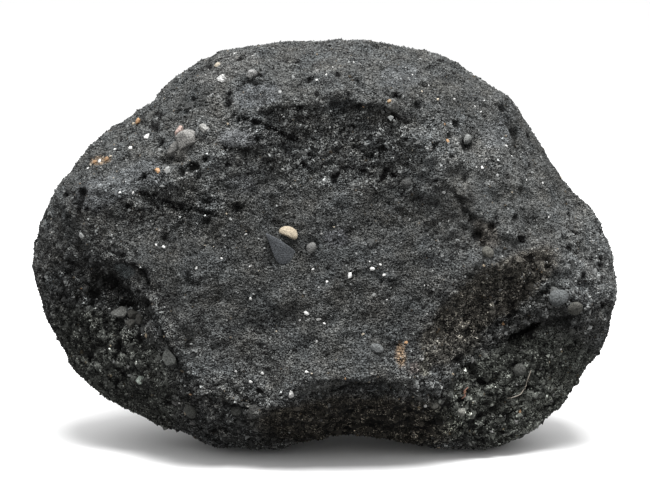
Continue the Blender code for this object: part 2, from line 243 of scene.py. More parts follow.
# Stones baked into the surface and pits where others fell out: (place, radius, height or depth).
LUMPS = {
    "shoulder": ((-43.8, 32.1), 3.6, 2.0),
    "crest": ((20.4, 43.2), 2.2, 1.1),
    "lobe": ((72.3, -16.6), 3.1, 0.8),
    "lobe side": ((77.3, -19.7), 2.4, 1.2),
    "lobe low": ((60.3, -38.9), 2.4, 1.4),
    "hollow": ((50.5, -2.6), 2.4, 1.2),
    "flank": ((-63.7, -21.4), 2.4, 1.4),
    "heel": ((-41.7, -51.6), 2.8, 1.4),
    "flank low": ((-47.9, -35.8), 2.0, 1.1),
}
NAMED_PITS = {
    "shoulder": ((-41.2, 24.2), 1.6, 1.4),
    "shoulder low": ((-44.7, 22.3), 1.5, 1.3),
    "shoulder side": ((-39.6, 19.9), 1.2, 0.9),
    "crest": ((21.8, 39.6), 1.5, 1.5),
    "right brow": ((46.6, 2.6), 1.4, 1.1),
    "right brow high": ((51.5, 5.4), 1.2, 0.9),
    "left cavity": ((-66.9, -11.9), 2.2, 1.1),
    "under the ledge": ((64.3, -28.4), 2.0, 1.2),
    "top right": ((55.3, 42.9), 1.5, 1.0),
    "top right low": ((58.7, 35.2), 1.3, 0.7),
    "brow": ((2.4, 20.0), 1.0, 1.1),
    "brow left": ((-10.0, 32.8), 1.3, 1.2),
    "brow right": ((17.5, 20.0), 1.0, 0.9),
    "brow low": ((13.5, 26.8), 1.0, 0.9),
    "left wall": ((-27.7, 11.0), 1.2, 1.0),
    "pebble seat": ((44.2, 30.8), 1.9, 1.2),
    "gap high": ((-75.4, 16.4), 1.4, 1.1),
    "gap": ((-76.4, 12.8), 1.6, 1.4),
    "left top": ((-51.6, 39.4), 1.5, 1.0),
    "left top low": ((-53.2, 36.6), 1.4, 1.0),
    "crest left": ((-30.3, 43.9), 1.1, 1.2),
    "flank": ((-63.7, -32.1), 1.6, 1.3),
    "flank side": ((-56.2, -18.4), 1.5, 1.2),
}
# Cracks: lines of (u, v), each with its half width and depth.
# The material also paints the depth of these cracks, of the pits and of the scarps' grooves as shade.
CRACKS = {
    "brow left": (((-25, 39.8), (-17.5, 36.2), (-10.4, 32.4)), 0.45, 1.1),
    "wall long": (((-53.0, 14.5), (-46.0, 11.2), (-39.5, 10.0), (-33.0, 8.5)), 0.4, 1.0),
    "wall": (((-58, 16.2), (-53.8, 13.8), (-51.9, 10.4)), 0.4, 1.0),
    "brow curve": (((5.3, 23.3), (9.1, 23.6), (11.8, 22.6), (13.7, 20.4)), 0.35, 0.6),
    "shoulder curve": (((39.4, 17.0), (42.6, 13.8), (43.6, 11.0), (45.6, 7.6)), 0.4, 1.2),
    "rim groove": (((55.0, 43.4), (56.5, 40.0), (58.4, 36.0), (59.4, 29.6)), 0.6, 0.6),
    "gap": (((-74.8, 18.0), (-76.2, 13.5), (-76.6, 10.0)), 0.8, 1.7),
    "facet edge": (((-32, 30.0), (-28, 28.9), (-24.5, 29.0), (-22.5, 30.8)), 0.35, 0.8),
    "step": (((-43, -7.3), (-42.3, -11.2), (-38.6, -12.4)), 0.45, 1.0),
    "centre": (((14.5, -9.5), (18, -12), (22, -11.5)), 0.4, 0.8),
    "crest": (((-26, 49.5), (-21, 50.5), (-17.5, 49.5)), 0.4, 0.8),
    "lap low": (((-13, -33.5), (-4, -34.6), (5, -33.2)), 0.3, 0.5),
    "lap right": (((27.3, -30.5), (31.5, -28.0), (35.3, -23.0)), 0.35, 0.6),
    "ledge": (((59.5, -28.7), (64.5, -27.0), (70.5, -25.0), (75.5, -23.4)), 1.1, 1.9),
    "cavity": (((-54.6, -12.6), (-56.4, -9.4), (-60.8, -7.2)), 0.5, 1.4),
}
# Scarps: lines of (u, v) whose left-hand side, going along them, drops at once and comes back further off:
# (the line, how wide the drop is, how far off the surface has come back, depth).
SCARPS = {
    "left valley": (
        ((-35.8, -46.3), (-46.6, -33.6), (-53.1, -23.4), (-54.7, -19.4), (-64.9, -12.9), (-72.5, -4.2)),
        1.4, 13, 4.6),
    "cavity roof": (((-54.5, -12), (-56.5, -8.3), (-61, -6.3), (-66.5, -4.6)), 1.1, 6, 1.6),
    "ledge": (((74.5, -23.0), (71.4, -24.0), (64.9, -25.2), (58.7, -27.7), (55.5, -30.0)), 0.8, 7.5, 3.8),
    "under the clast": (((-43.0, 26.2), (-46.5, 27.7), (-50.3, 29.3)), 0.9, 4.5, 1.7),
    "bluish edge": (((-22.5, 30.6), (-24.5, 29.0), (-28, 28.9), (-32, 30.0)), 0.8, 4, 0.9),
    "wall": (((-51.9, 10.4), (-53.8, 13.8), (-58, 16.2)), 0.9, 4, 0.9),
    "step": (((-38.6, -12.4), (-42.3, -11.2), (-43, -7.3)), 0.9, 4, 1.2),
    "shoulder curve": (((45.6, 7.6), (43.6, 11.0), (42.6, 13.8), (39.4, 17.0)), 0.9, 4, 1.2),
    "crest": (((31, 38.5), (21, 42.8), (10, 44.5), (-2, 45)), 3.0, 10, 1.4),
    "crest left": (((-6, 44), (-14, 43.5), (-22, 41)), 2.2, 8, 1.0),
    "lip": (((24, -45), (17, -43.5), (8, -43.5), (-2, -46.5)), 1.2, 9, 1.8),
    "lobe fold": (((52, -44), (47, -38), (40, -33)), 1.0, 6, 1.5),
    "heel": (((-24, -51), (-32, -49), (-40, -46.5)), 1.1, 6, 1.8),
}

# Pale crystals that can be told apart: (u, v, longest size, tint). 0 is white, 1 cream, 2 grey, 3 orange.
CRYSTALS = (
    (-24.5, 3.1, 0.9, 0), (-50, -0.8, 1, 0), (-40, -7.4, 1, 0), (-33.3, -4.8, 0.7, 0), (0.6, -11.6, 1, 0),
    (-23.1, -16.9, 1.1, 0), (7.7, -9.8, 1.6, 0), (14.7, -7.7, 1.5, 0), (18.3, -9.6, 1.3, 0),
    (30.5, -12.9, 1, 0), (-5.7, -21.5, 1.6, 0), (-2, -23.4, 1.3, 0), (-0.2, -24.6, 0.9, 0),
    (-2.6, -30.2, 1.1, 0), (-5.7, -39.7, 1, 0), (-3.9, -40.3, 1.1, 1), (-19.4, -40.1, 1, 0),
    (-27.7, -39.5, 1, 0), (-23.1, -42.8, 1.2, 0), (-34.2, -41.7, 0.9, 0), (-10.4, -46.8, 2.2, 0),
    (-65.5, 1.7, 0.9, 0), (-21.2, -14.4, 0.8, 0), (30.2, -35.5, 1.6, 0), (-65.5, -36.4, 1.4, 2),
    (-60.6, -40.8, 1.3, 2), (31.1, -50.3, 1.2, 0), (42, -52.2, 1.8, 2), (64.3, 22.2, 1.1, 2),
    (53.4, 21.2, 1.1, 2), (48.8, 23.7, 1, 0), (-33.5, 55.6, 2.4, 1), (-31.8, 51.3, 2.2, 0),
    (-23.1, 52.5, 2.4, 2), (-35.2, 46, 1.6, 2), (-58.2, 38, 2.2, 3), (-59.4, 37.4, 1.3, 1),
    (-55.3, 33.3, 2, 0), (-51.9, 22.8, 2.4, 3), (-48.8, 23.2, 2.2, 2), (-37, 35.5, 2, 2), (38, 31.8, 1.4, 3),
    (55.3, -24.6, 1.5, 3), (60.3, -51.9, 1.4, 3), (-41.7, -46.6, 1.1, 3), (-57.2, -42.3, 1.8, 2),
    (2.6, 5.4, 1.3, 1), (-71.5, 25.4, 1.8, 3), (-67.6, 26.5, 1.9, 3), (-69.8, 25.7, 1.3, 0),
    (-68.7, 27, 1, 1), (-72.5, 24.6, 1.1, 1), (-66.4, 27.2, 1, 1), (43.2, -46, 1.3, 3), (25.2, -30.6, 1.2, 3),
    (-45.1, 34.9, 2.2, 1), (-75.4, 2.6, 2.2, 2), (-14, 47.2, 1.4, 2),
)
CRYSTAL_TINTS = ((0.60, 0.60, 0.585), (0.42, 0.37, 0.29), (0.22, 0.225, 0.22), (0.34, 0.20, 0.10))

# Pebbles that can be told apart: (place, half length, half width, height, turn, colour), and for the first
# two how far out the flat along the lower side is, against the half width.
PEBBLES = {
    "pebble_cream": ((-11.3, 3.1), 2.95, 2.1, 1.3, -24, (0.37, 0.315, 0.235), 0.45),
    "pebble_small": ((-4.2, -1.1), 1.5, 1.8, 1.1, -15, (0.145, 0.145, 0.14), 0.9),
}
GREY_PEBBLES = (
    ((72.3, -16.6), 3.0, 2.7, 1.9, 20, (0.098, 0.104, 0.105)),
    ((77.3, -19.9), 2.5, 2.3, 1.3, 0, (0.074, 0.073, 0.066)),
    ((76.4, -27.0), 1.3, 1.2, 0.9, 0, (0.085, 0.087, 0.082)),
    ((60.3, -38.9), 2.2, 2.0, 1.4, 40, (0.078, 0.080, 0.074)),
    ((50.5, -2.6), 2.1, 1.8, 1.2, 0, (0.092, 0.090, 0.080)),
    ((-41.7, -51.6), 2.3, 2.7, 1.4, 0, (0.078, 0.080, 0.074)),
    ((16.0, -32.4), 2.2, 1.4, 1.0, -20, (0.105, 0.110, 0.110)),
    ((43.6, 32.4), 1.8, 1.6, 1.3, 20, (0.170, 0.175, 0.170)),
    ((25.2, 19.0), 1.6, 1.4, 1.0, 0, (0.080, 0.081, 0.079)),
)
# Angular chips: as the pebbles, but broken rather than worn.
CHIPS = (
    ((-43.0, 31.9), 2.7, 2.2, 1.6, 25, (0.200, 0.196, 0.186)),
    ((-47.0, 29.6), 2.5, 1.3, 1.0, 40, (0.130, 0.128, 0.122)),
    ((-45.1, 34.9), 1.3, 1.0, 1.2, 20, (0.34, 0.26, 0.23)),
    ((-37.2, 35.6), 1.5, 1.3, 1.2, 0, (0.22, 0.22, 0.21)),
    ((-31.6, 51.2), 1.3, 0.9, 1.0, -20, (0.44, 0.44, 0.43)),
    ((-23.0, 52.6), 1.7, 1.0, 0.9, 20, (0.25, 0.25, 0.245)),
    ((-63.6, -21.3), 2.1, 1.5, 1.4, -30, (0.160, 0.162, 0.153)),
    ((-47.9, -35.8), 1.7, 2.2, 1.4, 20, (0.098, 0.102, 0.096)),
    ((20.5, 42.8), 1.8, 1.2, 1.9, -50, (0.120, 0.121, 0.116)),
    ((19.7, 44.1), 0.55, 0.5, 0.8, 0, (0.26, 0.19, 0.12)),
    ((-59.3, -21.6), 1.5, 1.3, 1.2, 10, (0.068, 0.067, 0.061)),
    ((-57.4, -23.2), 1.2, 1.0, 1.1, 70, (0.074, 0.073, 0.067)),
    ((-60.3, -24.8), 1.3, 1.0, 1.0, 30, (0.062, 0.061, 0.056)),
    ((-27.7, -51.6), 1.7, 1.3, 1.1, 10, (0.090, 0.092, 0.086)),
    ((-57.0, -42.3), 1.4, 0.9, 1.2, 35, (0.26, 0.29, 0.26)),
    ((42.2, -52.3), 1.1, 0.9, 0.8, 0, (0.22, 0.22, 0.20)),
)
# Fine fibres caught on the stone: the line along which each lies, its half width and its colour.
FIBRES = (
    (((63.8, -38.8), (62.7, -41.8), (61.7, -44.8), (60.0, -46.9), (56.2, -47.8)), 0.13, (0.30, 0.27, 0.23)),
    (((42.2, -47.9), (43.4, -46.9), (42.9, -45.6), (44.3, -44.2)), 0.17, (0.38, 0.20, 0.15)),
)
# The slate chip: its outline, anticlockwise, then (share of the outline, height over the face) for each ring
# that it is lofted through, and how far its right end dips into the stone.
SLATE_OUTLINE = (
    (-18.5, 3.6), (-15.4, -4.9), (-14.0, -6.4), (-9.8, -5.9), (-7.0, -5.3), (-9.6, -1.8), (-13.8, 1.2),
)
SLATE_RINGS = ((1.0, -1.2), (1.01, 0.15), (0.985, 0.42), (0.93, 0.50), (0.6, 0.58), (0.3, 0.62), (0.02, 0.63))
SLATE_SINK = 0.75


def closed_curve(angle, knots, column):
    """The value in this column of the knots at each angle: a closed smooth curve through them."""
    table = np.array(knots, float)
    at = np.radians(np.concatenate([table[-2:, 0] - 360, table[:, 0], table[:2, 0] + 360]))
    value = np.concatenate([table[-2:, column], table[:, column], table[:2, column]])
    slope = np.zeros_like(value)
    slope[1:-1] = (value[2:] - value[:-2]) / (at[2:] - at[:-2])
    turn = np.mod(angle, 2 * np.pi)
    i = np.clip(np.searchsorted(at, turn, side="right") - 1, 1, len(at) - 3)
    gap = at[i + 1] - at[i]
    s = (turn - at[i]) / gap
    ends = value[i] * (1 + 2 * s) * (1 - s) ** 2 + value[i + 1] * s * s * (3 - 2 * s)
    bends = slope[i] * s * (1 - s) ** 2 + slope[i + 1] * s * s * (s - 1)
    return ends + bends * gap


def soft_min(a, b, rounding):
    """The lower of two surfaces, with the crease between them rounded."""
    share = np.clip(0.5 + 0.5 * (b - a) / rounding, 0, 1)
    return b + (a - b) * share - rounding * share * (1 - share)


def smooth_step(x):
    """0 up to x = 0 and 1 from x = 1, with three x squared less two x cubed between them."""
    x = np.clip(x, 0, 1)
    return x * x * (3 - 2 * x)


def corner_hash(x, y, z, seed):
    """A well mixed number for each corner of a lattice."""
    mixed = x * np.uint32(73856093) ^ y * np.uint32(19349663) ^ z * np.uint32(83492791)
    mixed = mixed ^ np.uint32(seed * 2654435 + 977)
    mixed = (mixed ^ (mixed >> np.uint32(15))) * np.uint32(2246822519)
    mixed = (mixed ^ (mixed >> np.uint32(13))) * np.uint32(3266489917)
    return mixed ^ (mixed >> np.uint32(16))


def lattice_noise(points, size, seed):
    """Smooth noise from about -1 to 1: each corner of a lattice of this size pulls along its own slope."""
    scaled = points / size + 1000.37
    cell = np.floor(scaled)
    inside = scaled - cell
    fade = inside ** 3 * (inside * (inside * 6 - 15) + 10)
    cell = cell.astype(np.uint32)
    total = np.zeros(len(points))
    for corner in np.ndindex(2, 2, 2):
        x, y, z = (cell + np.array(corner, np.uint32)).T
        mixed = corner_hash(x, y, z, seed)
        weight = np.prod(np.where(corner, fade, 1 - fade), axis=1)
        for axis, shift in enumerate((0, 10, 20)):
            slope = ((mixed >> np.uint32(shift)) & np.uint32(1023)) / 511.5 - 1.0
            total += weight * slope * (inside[:, axis] - corner[axis])
    return total * 1.4


def fractal_noise(points, size, octaves, seed, falloff=0.5):
    """Lattice noise with finer and weaker noise added, octave by octave."""
    return sum(falloff ** k * lattice_noise(points, size / 2 ** k, seed + 17 * k) for k in range(octaves))


def cell_middles(points, size, seed):
    """For each of the 27 lattice cells round each point: the distance to its middle, and its chance."""
    scaled = points / size + 1000.37
    home = np.floor(scaled)
    for step in np.ndindex(3, 3, 3):
        cell = home + np.array(step) - 1
        x, y, z = cell.astype(np.uint32).T
        mixed = corner_hash(x, y, z, seed)
        middle = [(mixed >> np.uint32(shift)) & np.uint32(255) for shift in (0, 8, 16)]
        middle = np.stack(middle, axis=1) / 255.0
        yield np.linalg.norm(cell + middle - scaled, axis=1) * size, (mixed >> np.uint32(24)) / 256.0


def gas_pits(points, size, share, least, most, seed):
    """Depth of round pits: some cells of a lattice hold a ball, which dents the surface where it cuts it.

    The dent is the ball's radius times a dome of the distance from its middle, (1 - (d / r) squared) to 0.7.
    """
    depth = np.zeros(len(points))
    for away, chance in cell_middles(points, size, seed):
        radius = least + (most - least) * np.mod(chance * 37.0, 1.0) ** 2
        dome = np.clip(1 - (away / radius) ** 2, 0, None) ** 0.7
        depth = np.maximum(depth, np.where(chance < share, dome * radius, 0))
    return depth


def cobbles(points, size, seed):
    """Crumbs packed side by side: 1 on top of each crumb, falling to 0 in the crevices between them.

    It is the gap between the distances to the nearest two cell middles, so it vanishes halfway between them.
    """
    first = np.full(len(points), 9.0 * size)
    second = first.copy()
    for away, _ in cell_middles(points, size, seed):
        second = np.minimum(second, np.maximum(first, away))
        first = np.minimum(first, away)
    gap = (second - first) / size
    return 0.55 * smooth_step(gap / 0.35) + 0.45 * np.clip(gap, 0, 1)


def bowl(u, v, place, half_length, half_width, turn):
    """1 in the middle of an ellipse, falling smoothly to 0 at 1.34 times its half axes.

    It is 1 less the squared distance, counted in half axes, over 1.8, to the power 1.6.
    """
    cosine = math.cos(math.radians(turn))
    sine = math.sin(math.radians(turn))
    x = u - place[0]
    y = v - place[1]
    squared = ((x * cosine + y * sine) / half_length) ** 2 + ((y * cosine - x * sine) / half_width) ** 2
    return np.clip(1 - squared / 1.8, 0, None) ** 1.6


def face_relief(u, v):
    """How far the broad face and the slopes round it stand out: a dish, a fall to the waist, less hollows."""
    angle = np.arctan2(v, u)
    radius = np.hypot(u, v)
    rim = closed_curve(angle, WAIST, 1)
    edge = closed_curve(angle, FACE_EDGE, 1)
    height = closed_curve(angle, FACE_EDGE, 2)
    dish = FACE_MIDDLE + (height - FACE_MIDDLE) * (radius / edge) ** 2
    beyond = (radius - edge) / (rim - edge)
    fall = height - (height - RIM_STEP) * (FALL_START * beyond + (1 - FALL_START) * beyond ** 3)
    relief = soft_min(dish, fall, EDGE_ROUNDING)
    inside = 1 - np.clip(radius / rim, 0, 1) ** 6
    for place, half_length, half_width, turn, depth in HOLLOWS.values():
        relief = relief - depth * inside * bowl(u, v, place, half_length, half_width, turn)
    return -soft_min(-relief, -LEAST_DEPTH, EDGE_ROUNDING)


def back_relief(u, v, uncut):
    """How far back the stone reaches: its uncut bulge, with the flats broken off it."""
    relief = uncut
    for (u0, v0), depth, along_u, along_v in BACK_FLATS.values():
        relief = soft_min(relief, depth + along_u * (u - u0) + along_v * (v - v0), BACK_ROUNDING)
    return relief


def swells(points):
    """Broad swells of noise, a few millimetres high."""
    return SWELL_HEIGHT * fractal_noise(points, SWELL_SIZE, 3, 5)


def stone_surface(directions):
    """The stone's surface point in each direction from its middle, before its finer detail.

    A bulging solid on the waist's outline is cut by the broad face in front and by flats behind, and swells,
    lumps and the arch under the stone are added along the outward direction.
    """
    along_u, along_v, out = directions.T
    angle = np.arctan2(along_v, along_u)
    rim = closed_curve(angle, WAIST, 1)
    front = out > 0
    bulge = np.where(front, FRONT_BULGE, BACK_BULGE)
    power = np.where(front, FRONT_BLUNTNESS, BACK_BLUNTNESS)
    across = (np.hypot(along_u, along_v) / rim) ** power
    reach = (across + (np.abs(out) / bulge) ** power) ** (-1 / power)
    u, v, w = (directions * reach[:, None]).T
    uncut = np.stack([u, v, w], axis=1)

    wander = EDGE_WANDER * (1 - np.clip(np.hypot(u, v) / rim, 0, 1) ** 4)
    stray_u = fractal_noise(uncut, EDGE_WANDER_SIZE, 3, 1) * wander
    stray_v = fractal_noise(uncut, EDGE_WANDER_SIZE, 3, 2) * wander
    face = soft_min(w, face_relief(u + stray_u, v + stray_v), WAIST_ROUNDING)
    back = -back_relief(u + stray_u, v + stray_v, -w)
    cut = np.stack([u, v, np.where(front, face, back)], axis=1)

    outward = cut / OUTWARD_SHAPE ** 2
    outward /= np.linalg.norm(outward, axis=1)[:, None]
    waist = np.stack([rim * np.cos(angle), rim * np.sin(angle), np.zeros_like(rim)], axis=1)
    near_waist = 1 - smooth_step(np.abs(cut[:, 2]) / WAIST_REACH)
    height = swells(cut) - swells(waist) * near_waist
    height += fractal_noise(cut, LUMP_SIZE, 3, 9, 0.6) * LUMP_HEIGHT * (1 - 0.6 * near_waist)
    place, half_length, half_width, rise = UNDERSIDE_ARCH
    height -= rise * bowl(u, w, place, half_length, half_width, 0) * smooth_step(-v / 40)
    return cut + outward * height[:, None]


def stood_up(points):
    """The points in metres, with the face leaning back and the ground at zero."""
    u, v, w = points.T
    x = u - BOX_MIDDLE_X
    y = v * math.sin(FACE_LEAN) - w * math.cos(FACE_LEAN) - BOX_MIDDLE_Y
    z = v * math.cos(FACE_LEAN) + w * math.sin(FACE_LEAN) - GROUND_LEVEL
    return np.stack([x, y, z], axis=1) * MILLIMETRE


def laid_back(points):
    """The points in millimetres in the leaning frame, from metres: stood_up, undone."""
    x, y, z = (points / MILLIMETRE + np.array([BOX_MIDDLE_X, BOX_MIDDLE_Y, GROUND_LEVEL])).T
    v = y * math.sin(FACE_LEAN) + z * math.cos(FACE_LEAN)
    w = z * math.sin(FACE_LEAN) - y * math.cos(FACE_LEAN)
    return np.stack([x, v, w], axis=1)


def as_seen(points):
    """Where each point is seen on the waist's plane, from the eye's distance."""
    return points[:, :2] * (EYE_DISTANCE / (EYE_DISTANCE - points[:, 2]))[:, None]


# ------------------------------------------------------------------ meshes

GRID = 128  # squares along each side of the cube whose faces are blown up into the stone
FRONT_SHARE = 0.45  # how far the cube's directions are drawn towards the broad face, for finer squares there
STONE_SHAPE = np.array([90.0, 64.0, 45.0])


def cube_sphere(count):
    """Points on a cube's surface, its faces, and where each face's squares lie on a flat atlas.

    Each side is a grid of two parameters, spaced by their tangent so that its squares come out alike.
    """
    t = np.tan(np.linspace(-1, 1, count + 1) * math.pi / 4)
    a, b = np.meshgrid(t, t, indexing="ij")
    one = np.ones_like(a)
    sides = [(one, a, b), (-one, b, a), (b, one, a), (a, -one, b), (a, b, one), (b, a, -one)]
    points = np.concatenate([np.stack(side, axis=2).reshape(-1, 3) for side in sides])
    index = np.arange((count + 1) ** 2).reshape(count + 1, count + 1)
    square = np.stack([index[:-1, :-1], index[1:, :-1], index[1:, 1:], index[:-1, 1:]], axis=2).reshape(-1, 4)
    faces = np.concatenate([square + k * (count + 1) ** 2 for k in range(6)])
    s = np.linspace(0.01, 0.99, count + 1)
    atlas = np.stack(np.meshgrid(s, s, indexing="ij"), axis=2).reshape(-1, 2)
    atlas = np.concatenate([(atlas + [k % 3, k // 3]) / [3, 2] for k in range(6)])
    key = np.round(points * 1e6).astype(np.int64)
    _, first, merged = np.unique(key, axis=0, return_index=True, return_inverse=True)
    return points[first], merged.reshape(-1)[faces], atlas[faces]


def vertex_normals(points, faces):
    """The mean direction of the faces round each vertex, weighted by their areas."""
    across = np.cross(points[faces[:, 2]] - points[faces[:, 0]], points[faces[:, -1]] - points[faces[:, 1]])
    across = np.repeat(across, faces.shape[1], axis=0)
    total = [np.bincount(faces.ravel(), across[:, axis], len(points)) for axis in range(3)]
    total = np.stack(total, axis=1)
    return total / np.linalg.norm(total, axis=1)[:, None]


def new_piece(name, points, faces, material, atlas=None, smooth=True):
    """An object of this name made of points in metres and of faces that all have as many corners."""
    mesh = bpy.data.meshes.new(name)
    mesh.vertices.add(len(points))
    mesh.vertices.foreach_set("co", points.astype(np.float32).ravel())
    mesh.loops.add(faces.size)
    mesh.loops.foreach_set("vertex_index", faces.astype(np.int32).ravel())
    mesh.polygons.add(len(faces))
    mesh.polygons.foreach_set("loop_start", np.arange(0, faces.size, faces.shape[1], dtype=np.int32))
    mesh.update(calc_edges=True)
    if atlas is not None:
        mesh.uv_layers.new(name="OFBake").data.foreach_set("uv", atlas.astype(np.float32).ravel())
    if smooth:
        mesh.shade_smooth()
    else:
        mesh.shade_flat()
    mesh.materials.append(material)
    piece = bpy.data.objects.new(name, mesh)
    bpy.context.scene.collection.objects.link(piece)
    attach(piece, "root")
    return piece


def give_numbers(mesh, name, values):
    """A number for each vertex."""
    mesh.attributes.new(name, "FLOAT", "POINT").data.foreach_set("value", values.astype(np.float32))


def give_colours(mesh, name, colours, strength=None):
    """A colour and a strength for each vertex."""
    if strength is None:
        strength = np.ones(len(colours))
    full = np.column_stack([colours, strength]).astype(np.float32)
    mesh.attributes.new(name, "FLOAT_COLOR", "POINT").data.foreach_set("color", full.ravel())


def own_cells(count):
    """An atlas that gives each of this many triangles half of a small square of its own."""
    across = math.ceil(math.sqrt(count))
    k = np.arange(count)
    corner = np.stack([k % across, k // across], axis=1)[:, None, :]
    return (corner + np.array([(0.1, 0.1), (0.9, 0.1), (0.1, 0.9)])) / across


def round_grid(around, rings):
    """Directions on a round grid of longitude and latitude with a point at each pole, and its triangles."""
    turn = np.arange(around) / around * 2 * np.pi
    rise = (np.arange(rings) + 1) / (rings + 1) * np.pi
    t, r = np.meshgrid(turn, rise)
    ring = np.stack([np.sin(r) * np.cos(t), np.sin(r) * np.sin(t), np.cos(r)], axis=2).reshape(-1, 3)
    directions = np.concatenate([[(0, 0, 1)], ring, [(0, 0, -1)]])
    i = np.arange(around)
    after = (i + 1) % around
    upper = 1 + np.arange(rings - 1)[:, None] * around
    a, b = upper + i, upper + after
    c, d = a + around, b + around
    last = 1 + rings * around
    top = np.stack([np.zeros(around, int), 1 + i, 1 + after], axis=1)
    low = np.stack([np.full(around, last), last - around + after, last - around + i], axis=1)
    belt = np.stack([np.stack([a, c, d], axis=2), np.stack([a, d, b], axis=2)]).reshape(-1, 3)
    return directions, np.concatenate([top, belt, low])


def closed_rings(rings):
    """A closed surface through rings of points, each joined to the next, with a point amid each end.

    The rings are (count, around, 3), and the faces look outwards where each ring turns anticlockwise about
    the way that the rings go.
    """
    count, around, _ = rings.shape
    points = np.concatenate([rings.reshape(-1, 3), rings[[0, -1]].mean(axis=1)])
    j = np.arange(around)
    after = (j + 1) % around
    start = np.arange(count - 1)[:, None] * around
    a, b = start + j, start + after
    belt = np.stack([np.stack([a, b, b + around], axis=2), np.stack([a, b + around, a + around], axis=2)])
    last = (count - 1) * around
    first_end = np.stack([after, j, np.full(around, last + around)], axis=1)
    last_end = np.stack([last + j, last + after, np.full(around, last + around + 1)], axis=1)
    return points, np.concatenate([belt.reshape(-1, 3), first_end, last_end])


def faceted_shapes(rng, count, directions, planes, bluntness):
    """Angular chips of about unit size: along each direction, the distance to the nearest of some planes.

    The planes stand at random distances and turns, and no point is further out than the bluntness.
    """
    faces_out = rng.normal(size=(count, planes, 3))
    faces_out /= np.linalg.norm(faces_out, axis=2)[:, :, None]
    stand = rng.uniform(0.62, 1.0, (count, planes))
    along = np.einsum("kpc,vc->kpv", faces_out, directions)
    reach = (stand[:, :, None] / np.maximum(along, 0.05)).min(axis=1)
    return directions * np.minimum(reach, bluntness)[:, :, None]


def random_turns(rng, count):
    """Evenly random rotations, from random unit quaternions."""
    q = rng.normal(size=(count, 4))
    a, b, c, d = (q / np.linalg.norm(q, axis=1)[:, None]).T
    return np.stack([
        np.stack([1 - 2 * (c * c + d * d), 2 * (b * c - a * d), 2 * (b * d + a * c)], axis=1),
        np.stack([2 * (b * c + a * d), 1 - 2 * (b * b + d * d), 2 * (c * d - a * b)], axis=1),
        np.stack([2 * (b * d - a * c), 2 * (c * d + a * b), 1 - 2 * (b * b + c * c)], axis=1),
    ], axis=1)


def frames_on(normals, turn):
    """A rotation for each normal that takes z to it, x being turned by this angle from the right."""
    right = np.array([1.0, 0.0, 0.0]) - normals * normals[:, :1]
    right /= np.linalg.norm(right, axis=1)[:, None]
    ahead = np.cross(normals, right)
    cosine = np.cos(turn)[:, None]
    sine = np.sin(turn)[:, None]
    return np.stack([right * cosine + ahead * sine, ahead * cosine - right * sine, normals], axis=2)


HIDING = 0.05  # how much a nearer point counts for, against its squared distance from the place


class Ground:
    """The finished stone's surface in the leaning frame, which the other pieces are set into."""

    def __init__(self):
        stone = bpy.data.objects.get(STONE)
        if stone is None:
            raise RuntimeError("build the stone before the pieces that sit on it")
        mesh = stone.data
        count = len(mesh.vertices)
        points = np.empty(count * 3, np.float32)
        mesh.vertices.foreach_get("co", points)
        self.points = laid_back(points.reshape(-1, 3).astype(float))
        faces = np.empty(len(mesh.loops), np.int32)
        mesh.loops.foreach_get("vertex_index", faces)
        self.faces = faces.reshape(-1, 4)
        self.normals = vertex_normals(self.points, self.faces)
        self.numbers = {}
        for name in ("crumbs", "hollow", "smoothed", "tone", "contrast", "calm"):
            values = np.empty(count, np.float32)
            mesh.attributes[name].data.foreach_get("value", values)
            self.numbers[name] = values.astype(float)
        # Painted shade: darker in the pits, cracks and crevices, times the tone there, which is partly
        # painted light and shade.
        lit = np.interp(self.numbers["hollow"], (0.1, 0.85), (1.15, 0.08))
        self.numbers["shade"] = lit * self.numbers["tone"]
        tint = np.empty(count * 4, np.float32)
        mesh.attributes["tint"].data.foreach_get("color", tint)
        self.tint = tint.reshape(-1, 4).astype(float)

    def coloured(self, nearest, mean):
        """The mean colour of the grains at each corner, which leans to the patch that they lie in."""
        share = 0.9 * self.tint[nearest, 3:]
        return np.array(mean) * (1 - share) + self.tint[nearest, :3] * share

    def scattered(self, rng, count, weight):
        """Random places, their normals and their nearest corners, even over the area times the weight."""
        triangles = np.concatenate([self.faces[:, [0, 1, 2]], self.faces[:, [0, 2, 3]]])
        a, b, c = (self.points[triangles[:, k]] for k in range(3))
        area = np.linalg.norm(np.cross(b - a, c - a), axis=1) * weight[triangles].mean(axis=1)
        chosen = np.searchsorted(np.cumsum(area), rng.random(count) * area.sum())
        chosen = triangles[np.minimum(chosen, len(triangles) - 1)]
        share = rng.random((count, 2))
        share = np.where(share.sum(axis=1)[:, None] > 1, 1 - share, share)
        share = np.column_stack([1 - share.sum(axis=1), share])[:, :, None]
        normals = (self.normals[chosen] * share).sum(axis=1)
        normals /= np.linalg.norm(normals, axis=1)[:, None]
        return (self.points[chosen] * share).sum(axis=1), normals, chosen[:, 0]

    def seen_at(self, places):
        """The front surface's points and normals where these places are seen: nearer parts hide others."""
        places = np.array(places, float).reshape(-1, 2)
        front = np.flatnonzero(self.normals[:, 2] > 0.05)
        spots = as_seen(self.points[front])
        apart = ((spots[None] - places[:, None]) ** 2).sum(axis=2)
        nearest = front[(apart - HIDING * self.points[front, 2]).argmin(axis=1)]
        points = self.points[nearest].copy()
        off = places - as_seen(points)
        points[:, :2] += off * (1 - points[:, 2:] / EYE_DISTANCE)
        return points, self.normals[nearest]


# ------------------------------------------------------------------ the stone

